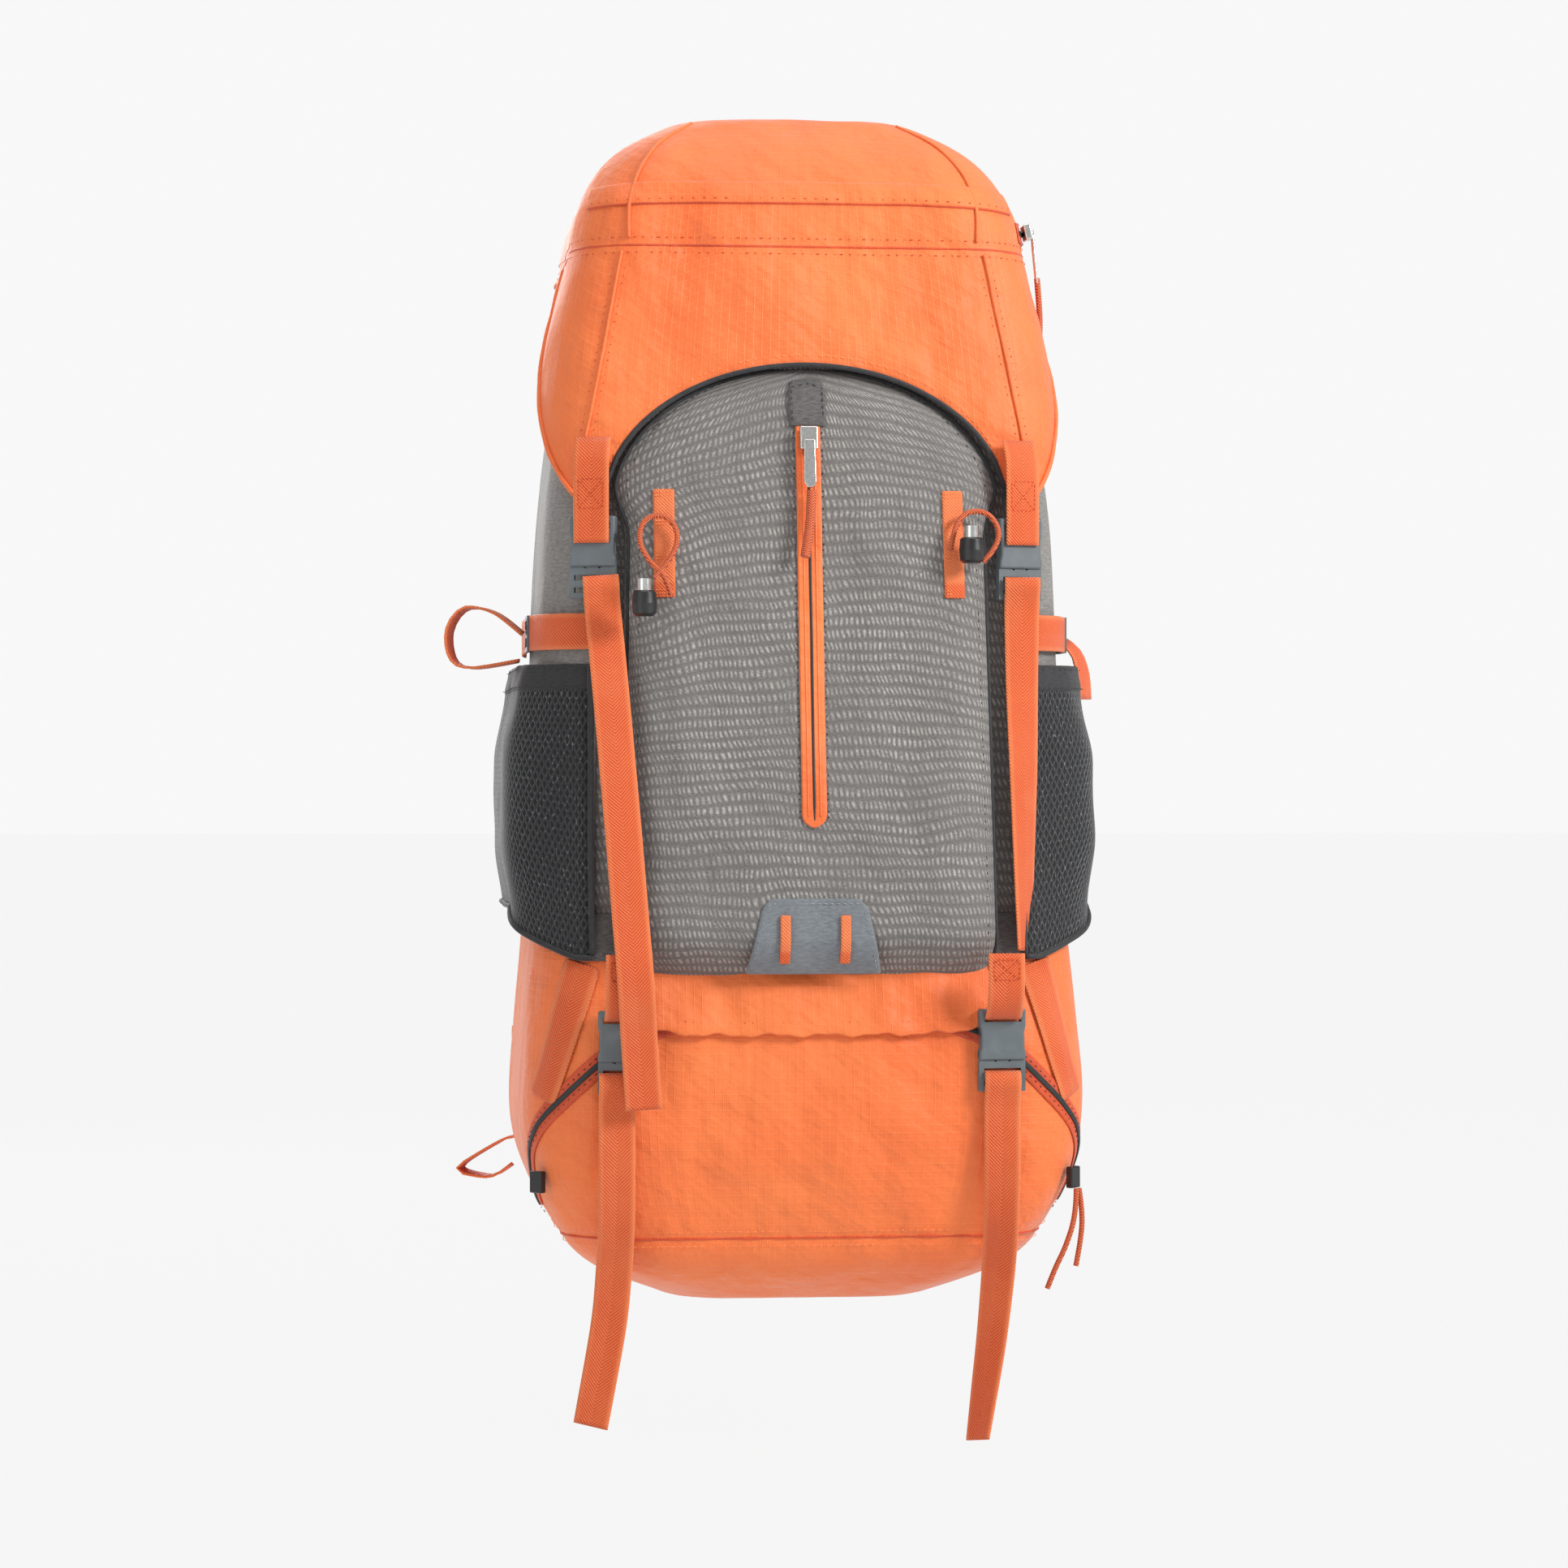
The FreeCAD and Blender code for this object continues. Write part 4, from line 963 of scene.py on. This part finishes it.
strip("wear_patch_cloth", patch_half, 184, 226, 1.4, PATCH, ["wear_patch"], count=24, columns=19, thick=1.8)
outline = ([(-patch_half(z) + 2.6, z) for z in spread(186, 223, 24)]
           + [(patch_half(z) - 2.6, z) for z in spread(223, 186, 24)])
stitches([pocket_at(x, z, 1.5) for x, z in outline], PACK, THREAD_GREY, 2.2, 1.3)
for name, side in SIDES:
    strip(f"patch_loop_{name}", lambda z: 2.9, 190, 217, 3.4, WEB, count=20, columns=5,
          centre=side * 16.5, thick=1.8)
    strip(f"daisy_strip_{name}", lambda z: 6.0, 390, 450, 1.6, WEB, ["daisy_strips"], count=44,
          columns=5, centre=side * 80, thick=1.6)
    for z in (393, 412, 431, 447):
        for row in (-0.9, 0.9):
            stitches([pocket_at(side * 80 + x, z + row, 1.9) for x in spread(-5, 5, 8)], PACK, THREAD_ORANGE,
                     1.2, 0.3)


# ------------------------------------------------------------------ lid
def hem(x, y):
    """The lid's lower edge over a point of its plan."""
    if y > -16:
        return 579.0
    if abs(x) < 112 and y < -60:
        return 440 + 80 * math.sqrt(1 - (x / 112) ** 2)
    return max(440.0, 440 + (y + 93) * 139 / 77)


def hem_height(share):
    """Where the lid's edge comes at a share of the way round."""
    z = 520.0
    for _ in range(30):
        sizes = station(HOOD, z)
        x, y, _, _ = plan(sizes, round_length(sizes) * share)
        z += (hem(x, y) - z) * 0.5
    return z


def hood_share(share, z, out=0.0):
    return hood_at(round_length(station(HOOD, z)) * share, z, out)


shares = spread(-1, 1, 181)[:-1]
edge = [hem_height(t) for t in shares]
rows = []
for t in spread(0, 1, 34):
    row = []
    for share, low in zip(shares, edge):
        z = low + (662 - low) * t
        tuck = -1.3 * math.exp(-((z - 586) / 3.0) ** 2)
        row.append(hood_share(share, z, tuck))
    rows.append(row)
top_sizes = station(HOOD, 662)
for shrink, rise in ((0.9, 664.2), (0.72, 665.6), (0.5, 666.6), (0.26, 667), (0.001, 667)):
    rows.append([at(x * shrink, 12 + (y - 12) * shrink,
                    rise + 1.2 * crease(x * shrink, y * shrink, 0, 40, 40, 6.6))
                 for x, y, _, _ in (plan(top_sizes, round_length(top_sizes) * share) for share in shares)])
cloth("lid_cloth", rows, ORANGE, LID_BODY, ["lid_hood"], thick=1.6, around=True)

bib = [hood_share(share, low - 0.4, 0.2) for share, low in zip(shares, edge) if abs(share) < 0.285]
tube_mesh("lid_piping", bib, 2.8, BINDING, LID_BODY, "zip_black")
stitches([hood_share(s, z + 5, 0.2) for s, z in zip(shares, edge) if abs(s) < 0.27], LID_BODY)
turns = [t - 2 if t > 1 else t for t in spread(0.285, 1.715, 320)]
tube_mesh("lid_binding", [hood_share(t, hem_height(t) - 0.2, 0.2) for t in turns], 3.0, ORANGE, LID_BODY)
for name, side in SIDES:
    seam = [hood_at(side * s_at(station(HOOD, z), 121 - 20 * (z - 478) / 104), z, 0.7)
            for z in spread(478, 583, 70)]
    tube_mesh(f"lid_seam_{name}", seam, 1.8, ORANGE, LID_BODY)
    for off in (-3.4, 3.4):
        stitches([hood_at(side * s_at(station(HOOD, z), 121 + off - 20 * (z - 478) / 104), z, 0.2)
                  for z in spread(480, 581, 90)], LID_BODY, THREAD_RUST, 2.2, 2.2, 0.5)
    corner = [hood_share(0.245 * side + 0.02 * side * (z - 600) / 60, z, 0.6) for z in spread(590, 661, 50)]
    tube_mesh(f"lid_corner_seam_{name}", corner, 2.0, ORANGE, LID_BODY)
for z in (582.0, 590.5):
    stitches([hood_share(share, z, 0.1) for share in spread(-0.97, 0.97, 300)], LID_BODY, THREAD_RUST, 2.2,
             2.2, 0.5)

# The storm flap over the lid pocket's zip, which runs on round the lid's right and left sides.
band("lid_storm_flap", hood_at, [(-128, 615), (-60, 617), (60, 617), (128, 615)], 13, 1.5, LID_BODY, ORANGE,
     (), 1.4)
stitches(run(hood_at, [(-126, 611), (-60, 613), (60, 613), (126, 611)], 1.8), LID_BODY, THREAD_RUST, 3.2, 3.0)
tube_mesh("lid_flap_shadow", run(hood_at, [(-126, 608.6), (-60, 610.4), (60, 610.4), (126, 608.6)], 0.3), 1.5,
          ORANGE_DARK, LID_BODY)
tube_mesh("lid_front_seam", [hood_share(share, 586, -1.0) for share in spread(-0.97, 0.97, 300)], 1.6,
          ORANGE_DARK, LID_BODY)
band("lid_zip_tape", hood_at, [(133, 599), (257, 599)], 13, 0.9, LID_BODY, ORANGE_DARK, ["lid_zip"], 1.0,
     "zip_orange")
band("lid_zip_coil", hood_at, [(135, 599), (255, 599)], 3.0, 1.7, LID_BODY, ZIP_BLACK, (), 1.2)
for z in (593.5, 604.5):
    stitches(run(hood_at, [(134, z), (256, z)], 1.1), LID_BODY, THREAD_RUST)


# ------------------------------------------------------------------ straps
def yz(x, path):
    return [at(x, y, z) for y, z in path]


X, Z = (1, 0, 0), (0, 0, 1)
ribbon("top_tail_left", [at(-114.5 + (402 - z) * 0.0742, y, z) for y, z in
                         [(-107.2, 402), (-108, 396), (-104.5, 386), (-113, 366), (-124, 330), (-134, 286),
                          (-140.5, 255), (-146, 212), (-150, 192), (-149, 172), (-143, 150), (-140, 112)]],
       X, PACK, ["top_strap_left"])
ribbon("top_tail_right", yz(119, [(-107.2, 402), (-108, 396), (-104.5, 386), (-104.5, 345), (-109.5, 300),
                                  (-111.6, 256), (-113.4, 210), (-114.4, 196)]), X, PACK, ["top_strap_right"],
       twist=(0, -62))
ribbon("lower_tail_left", [at(-107 - 13 * max(0, (50 - z) / 113) ** 2, y, z) for y, z in
                           [(-132, 131), (-135, 126), (-131, 112), (-131, 80), (-127, 50), (-116, 20),
                            (-111, -10), (-108, -63)]], X, PACK, ["lower_strap_left"], twist=(0, 22))
ribbon("lower_tail_right", [at(104 - 12 * max(0, (20 - z) / 92) ** 1.5, y, z) for y, z in
                            [(-132, 131), (-135, 126), (-131, 112), (-131, 80), (-127, 50), (-116, 20),
                             (-112, -16),
                             (-114, -48), (-120, -72)]], X, PACK, ["lower_strap_right"], twist=(0, 60))
for name, side in SIDES:
    ribbon(f"lower_tab_{name}", yz(side * 104, [(-146.5, 196), (-146, 176), (-140, 165), (-133.6, 160)]), X,
           PACK, ["lower_tabs"])
    turn = math.radians(17 * side)
    spot = [(0.5, 71), (-3.6, 62), (-5, 50), (-5, 13)]
    ribbon(f"lid_tab_{name}", [at(side * 118 - y * math.sin(turn), -99.6 + y * math.cos(turn), 407 + z)
                               for y, z in spot], (math.cos(turn), math.sin(turn), 0), LID_BODY, ["lid_tabs"])
    tack(at(side * 118 + 5.9 * math.sin(turn), -99.6 - 5.9 * math.cos(turn), 447),
         (math.cos(turn), math.sin(turn), 0), Z, 14, 16, LID_BODY)
    tack(at(side * 104, -147.6, 187), X, Z, 14, 11, PACK)
    for place, line in (("front", [(112, -98.6), (130, -91.5), (143, -79), (150.5, -57)]),
                        ("rear", [(150.5, -29), (150.6, 10), (149.8, 50), (147, 78)])):
        ribbon(f"compression_{place}_{name}", [at(side * x, y, 372) for x, y in line], Z, PACK,
               ["compression_straps"])
    path = [(side * s_at(station(LOWER, z), 124 + 22 * t), z)
            for t, z in zip(spread(0, 1, 9), spread(191, 116, 9))]
    band(f"diagonal_{name}", lower_at, path, 21, 1.6, PACK, WEB, [f"diagonal_strap_{name}"])
ribbon("compression_tail_left", [at(x, -43, z) for x, z in [(-153.8, 372), (-170, 384), (-186, 386),
                                                            (-195, 374),
                                                           (-193, 358), (-182, 353), (-156, 357)]],
       (0.24, 0.97, 0), PACK,
       ["compression_straps"])
ribbon("compression_tail_right", [at(x, -43, z) for x, z in [(154, 368), (160, 362), (164, 350), (165, 336)]],
       (0.5, 0.87, 0), PACK, ["compression_straps"])


# ------------------------------------------------------------------ mesh pockets
def swell(z):
    """How far the bottle pockets stand off the bag at a height."""
    table = [(190, 0.8), (214, 9), (256, 16), (300, 16.4), (341, 10.5), (352, 8.6)]
    z = min(max(z, 190), 352)
    k = next(i for i in range(5) if z <= table[i + 1][0])
    t = (z - table[k][0]) / (table[k + 1][0] - table[k][0])
    t = t * t * (3 - 2 * t)
    return table[k][1] + (table[k + 1][1] - table[k][1]) * t


def net_at(s, z, out=0.0):
    side = 1 if s > 0 else -1
    near = min(1.0, max(0.0, (abs(s) - 128) / 34)) * min(1.0, max(0.0, (352 - abs(s)) / 30))
    near = near * near * (3 - 2 * near)
    ruffle = 1.1 * math.sin(s * 0.31) * max(0.0, (z - 300) / 50) if z > 300 else 0.0
    return wrap(MESH_LINE, s, z, 1.8 + swell(z) * near + out + ruffle * near, 1.6, 30, 40, 9.4 + side)


def mesh_low(s):
    """The mesh pocket's lower edge: lowest at the front corner, higher round the side."""
    return 193 + 27 * min(1.0, max(0.0, (s - 126) / 54)) ** 1.3


MESH_LINE = [(186, 155, 116.5, 95, 44), (216, 151, 110.5, 95, 44), (340, 147, 98, 95, 42),
             (360, 146, 96.4, 95, 42)]
for name, side in SIDES:
    rows = []
    for t in spread(0, 1, 26):
        row = []
        for s in spread(120, 350, 48):
            low = mesh_low(s)
            row.append(net_at(side * s, low + (343 - low) * t))
        rows.append(row if side > 0 else row[::-1])
    cloth(f"mesh_pocket_cloth_{name}", rows, NET, PACK, [f"mesh_pocket_{name}"], thick=1.2)
    band(f"mesh_binding_{name}", net_at, [(side * s, 347) for s in (118, 180, 260, 351)], 15, 0.5, PACK,
         BINDING, (), 2.2, "mesh")
    for z in (341.5, 352):
        stitches([net_at(side * s, z, 0.7) for s in spread(120, 349, 150)], PACK, THREAD_DARK)
    for place, s, low in (("front", 119, 195), ("back", 351, 222)):
        line = [net_at(side * s, z, 0.4) for z in spread(low, 353, 60)]
        tube_mesh(f"mesh_edge_{name}_{place}", line, 3.2, BINDING, PACK, "mesh")
    low_edge = [net_at(side * s, mesh_low(s), 0.4) for s in spread(119, 351, 90)]
    tube_mesh(f"mesh_base_{name}", low_edge, 3.0, BINDING, PACK, "mesh")


# ------------------------------------------------------------------ harness
def pad(name, x, z, half_x, half_z, channels):
    """A crowned foam pad on the back, with pressed channels across it."""
    y, deep = 95.8, 12.6
    rows = []
    for v in spread(-1, 1, 49):
        row = []
        for u in spread(-1, 1, 25):
            shrink = (1 - abs(v) ** 5) ** 0.2
            rise = (max(0.0, 1 - abs(u) ** 5) ** 0.5) * (max(0.0, 1 - abs(v) ** 7) ** 0.5)
            groove = sum(math.exp(-(((v + 1) / 2 - (k + 1) / (channels + 1)) * half_z * 2 / 4.5) ** 2)
                         for k in range(channels))
            bump = 0.5 * crease(x + u * half_x, 0, z + v * half_z, 25, 25, 2.2)
            row.append(at(x + u * half_x * (0.9 + 0.1 * shrink), y + rise * (deep - 6 * groove + bump),
                          z + v * half_z))
        rows.append(row[::-1])
    obj = cloth(name, rows, PAD, PACK, ["back_pads"], thick=1.0)
    edge = ([rows[i][0] for i in range(49)] + rows[48]
            + [rows[i][-1] for i in range(48, -1, -1)] + rows[0][::-1])
    tube_mesh(f"{name}_binding", edge, 3.4, BINDING, PACK, "padding")


pad("back_pad_left", -58, 387, 38, 125, 4)
pad("back_pad_right", 58, 387, 38, 125, 4)
pad("lumbar_pad", 0, 130, 70, 68, 2)

PILLOW = [(0.5 * math.copysign(abs(math.cos(a)) ** 0.45, math.cos(a)),
           0.5 * math.copysign(abs(math.sin(a)) ** 0.7, math.sin(a)))
          for a in (2 * math.pi * k / 28 for k in range(28))]


def padded_strap(name, line, side, wide, thick, body, stands_for, taper=0.16):
    """A foam strap covered in spacer mesh, rounded at its ends, with bound edges."""
    line = smoothed(line, 0.006)
    side = Vector(side)
    count = len(line)
    points, uv, edges, along = [], [], ([], []), 0.0
    for i, p in enumerate(line):
        ahead = heading(line, i)
        across = (side - ahead * side.dot(ahead)).normalized()
        up = across.cross(ahead)
        along += (p - line[i - 1]).length if i else 0.0
        t = i / (count - 1)
        near = min(1.0, max(0.0, min(t, 1 - t) / taper))
        width = wide * (0.55 + 0.45 * math.sqrt(1 - (1 - near) ** 2))
        depth = thick * (0.45 + 0.55 * min(1.0, near * 3))
        for a, b in PILLOW:
            points.append(p + across * (a * width * 0.001) + up * (b * depth * 0.001))
            uv.append((along, a * width * 0.001))
        for k, end in enumerate((-0.5, 0.5)):
            edges[k].append(p + across * (end * width * 0.001))
    obj = piece(name, points, sweep_faces(count, len(PILLOW)), PAD, body, stands_for, uv=uv)
    for k in (0, 1):
        tube_mesh(f"{name}_edge_{k}", edges[k], 3.6, BINDING, body, "padding")


for name, side in SIDES:
    padded_strap(f"shoulder_pad_{name}", yz(side * 66, [(98.4, 526), (118, 533), (142, 516), (156, 470),
                                                        (160, 400),
                                                        (158, 330), (152, 262), (149, 250)]), X, 62, 12, PACK,
                 [f"shoulder_strap_{name}"])
    lean = math.tan(math.radians(10))
    ribbon(f"shoulder_web_{name}", [at(side * (66 + (249 - z) * lean), y, z) for y, z in
                                    [(155.6, 249), (155.6, 226), (150, 206), (139, 150), (134.5, 96),
                                     (132, 70), (106, 54), (97.4, 47)]], X, PACK, ["shoulder_webbing"])
    ribbon(f"load_lifter_{name}", yz(side * 66, [(97, 557), (118, 552), (141, 533)]), X, PACK,
           ["load_lifters"])
    body = f"hip_wing_body_{name}"
    padded_strap(f"hip_pad_{name}", [at(side * x, y, 122) for x, y in
                                     [(74, 102), (104, 108), (130, 126), (142, 152), (140, 182), (128, 206)]],
                 Z, 96, 12, body, [f"hip_wing_{name}"], 0.3)
    ribbon(f"hip_web_{name}", [at(side * x, y, 122) for x, y in [(150.6, 160), (148.6, 184), (134, 216),
                                                                 (112, 236), (84, 244), (50, 246)]], Z, body,
           [f"hip_webbing_{name}"], wide=38)
ribbon("shoulder_web_tail", [at(x, 88, z) for x, z in [(-150, 80), (-158, 79), (-182, 65), (-183, 60),
                                                       (-166, 57), (-154, 64)]], (0.25, 0.96, 0), PACK,
       ["shoulder_webbing"])
ribbon("hip_web_tail", [at(x, 172, z) for x, z in [(152, 136), (157, 150), (166, 150), (197, 129)]],
       (0, 1, 0),
       "hip_wing_body_right", ["hip_webbing_right"])
ribbon("haul_loop_web", [at(x, y, 548) for x, y in [(-31, 96.8), (-29, 116), (-15, 126.5), (15, 126.5),
                                                    (29, 116),
                                                    (31, 96.8)]], Z, PACK, ["haul_loop"], thick=2.4)
ends = [Vector(corner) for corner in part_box("sternum_straps")]
middle = (ends[0] + ends[1]) / 2
for name, side in SIDES:
    which = 1 if side > 0 else 0
    outer, inner = ends[which][0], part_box("sternum_socket")[which][0]
    line = [Vector((x, middle.y, middle.z)) for x in (outer, (outer + inner) / 2, inner)]
    ribbon(f"sternum_web_{name}", line, Z, PACK, ["sternum_straps"], wide=18)

# Daisy webbing down each shoulder pad, sewn at intervals, and the unclipped halves of the hip buckle.
for name, side in SIDES:
    ribbon(f"shoulder_daisy_{name}", yz(side * 66, [(151, 516), (158.6, 494), (163.4, 468), (167.2, 400),
                                                    (165.2, 330), (159.6, 270)]), X, PACK, wide=20, thick=1.4)
    for z, y in ((500, 157.6), (455, 165.1), (370, 167.4), (330, 166.3), (285, 162)):
        for row in (-1.2, 0, 1.2):
            stitches([at(side * 66 + x, y, z + row) for x in (-9, 9)], PACK, THREAD_RUST, 1.4, 0.4, 0.6)
    tack(at(side * 66, 119.6, 552), X, (0, -0.8, 0.6), 14, 10, PACK)
moulded("hip_buckle_prongs", [([(-54, -22), (-34, -22), (-34, -15), (-54, -15)], -3, 3),
                              ([(-54, 15), (-34, 15), (-34, 22), (-54, 22)], -3, 3),
                              ([(-54, -22), (-50, -22), (-50, 22), (-54, 22)], -3, 3),
                              ([(-45, -22), (-42, -22), (-42, 22), (-45, 22)], -3, 3),
                              ([(-36, -22), (-28, -20), (-28, 20), (-36, 22)], -3.4, 3.4),
                              ([(-29, 13), (-12, 17), (-4, 15), (0, 9), (-4, 10), (-8, 12), (-14, 11),
                                (-29, 8)], -2, 2),
                              ([(-29, -8), (-14, -11), (-8, -12), (-4, -10), (0, -9), (-4, -15), (-12, -17),
                                (-29, -13)], -2, 2),
                              ([(-29, -3), (-2, -3), (0, 0), (-2, 3), (-29, 3)], -2, 2)],
        "hip_wing_body_left")
SHELL = [(8, -21), (34, -23), (44, -20), (44, 20), (34, 23), (8, 21)]
moulded("hip_buckle_socket", [(SHELL, -5.5, -2.6), (SHELL, 2.6, 5.5),
                              ([(8, -21), (14, -21.5), (14, -17), (8, -17)], -3, 3),
                              ([(8, 17), (14, 17), (14, 21.5), (8, 21)], -3, 3),
                              ([(32, -23), (44, -20), (44, 20), (32, 23)], -3, 3),
                              ([(44, -22), (54, -22), (54, -17), (44, -17)], -3, 3),
                              ([(44, 17), (54, 17), (54, 22), (44, 22)], -3, 3),
                              ([(51, -22), (54.5, -22), (54.5, 22), (51, 22)], -3, 3)],
        "hip_wing_body_right")

# ------------------------------------------------------------------ inside
COLLAR = [(548, 114, 62, 82, 34), (566, 113.5, 62, 82, 34), (596, 113, 61.5, 81.5, 34)]
rows = []
for z in spread(549, 596, 12):
    length = round_length(station(COLLAR, z))
    gather = max(0.0, (z - 570) / 26)
    rows.append([wrap(COLLAR, length * (2 * k / 200 - 1), z, 0.9 * gather * math.sin(k * 1.4) - 0.6)
                 for k in range(200)])
cloth("collar_cloth", rows, LINING, PACK, ["collar"], thick=0.9, around=True, fine=0)
rows = []
for t in spread(-1, 1, 21):
    rows.append([at(u * 143, 2 + t * 95 * (1 if abs(u) < 0.9 else 0.94),
                    224 - 2.4 * (1 - u * u) * (1 - t * t))
                 for u in spread(-1, 1, 31)])
cloth("divider_cloth", rows, LINING, PACK, ["compartment_divider"], thick=1.2)

# ------------------------------------------------------------------ plastic and metal
for material, nodes in (
        (SLATE, ("top_buckle_left", "top_buckle_right", "lower_buckle_left", "lower_buckle_right",
                 "buckle_prongs",
                 "ladder_locks")),
        (BLACK, ("cord_locks", "sternum_socket", "sternum_prongs", "lower_zip_slider_left",
                 "lower_zip_slider_right", "frame_sheet")),
        (SILVER, ("cord_lock_button_left", "cord_lock_button_right", "cord_lock_button_top",
                  "front_zip_slider",
                  "front_zip_tab", "lid_zip_slider")),
        (STAY, ("frame_stays",))):
    for node in nodes:
        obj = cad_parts[node]
        obj.data.materials.clear()
        obj.data.materials.append(material)

sew()
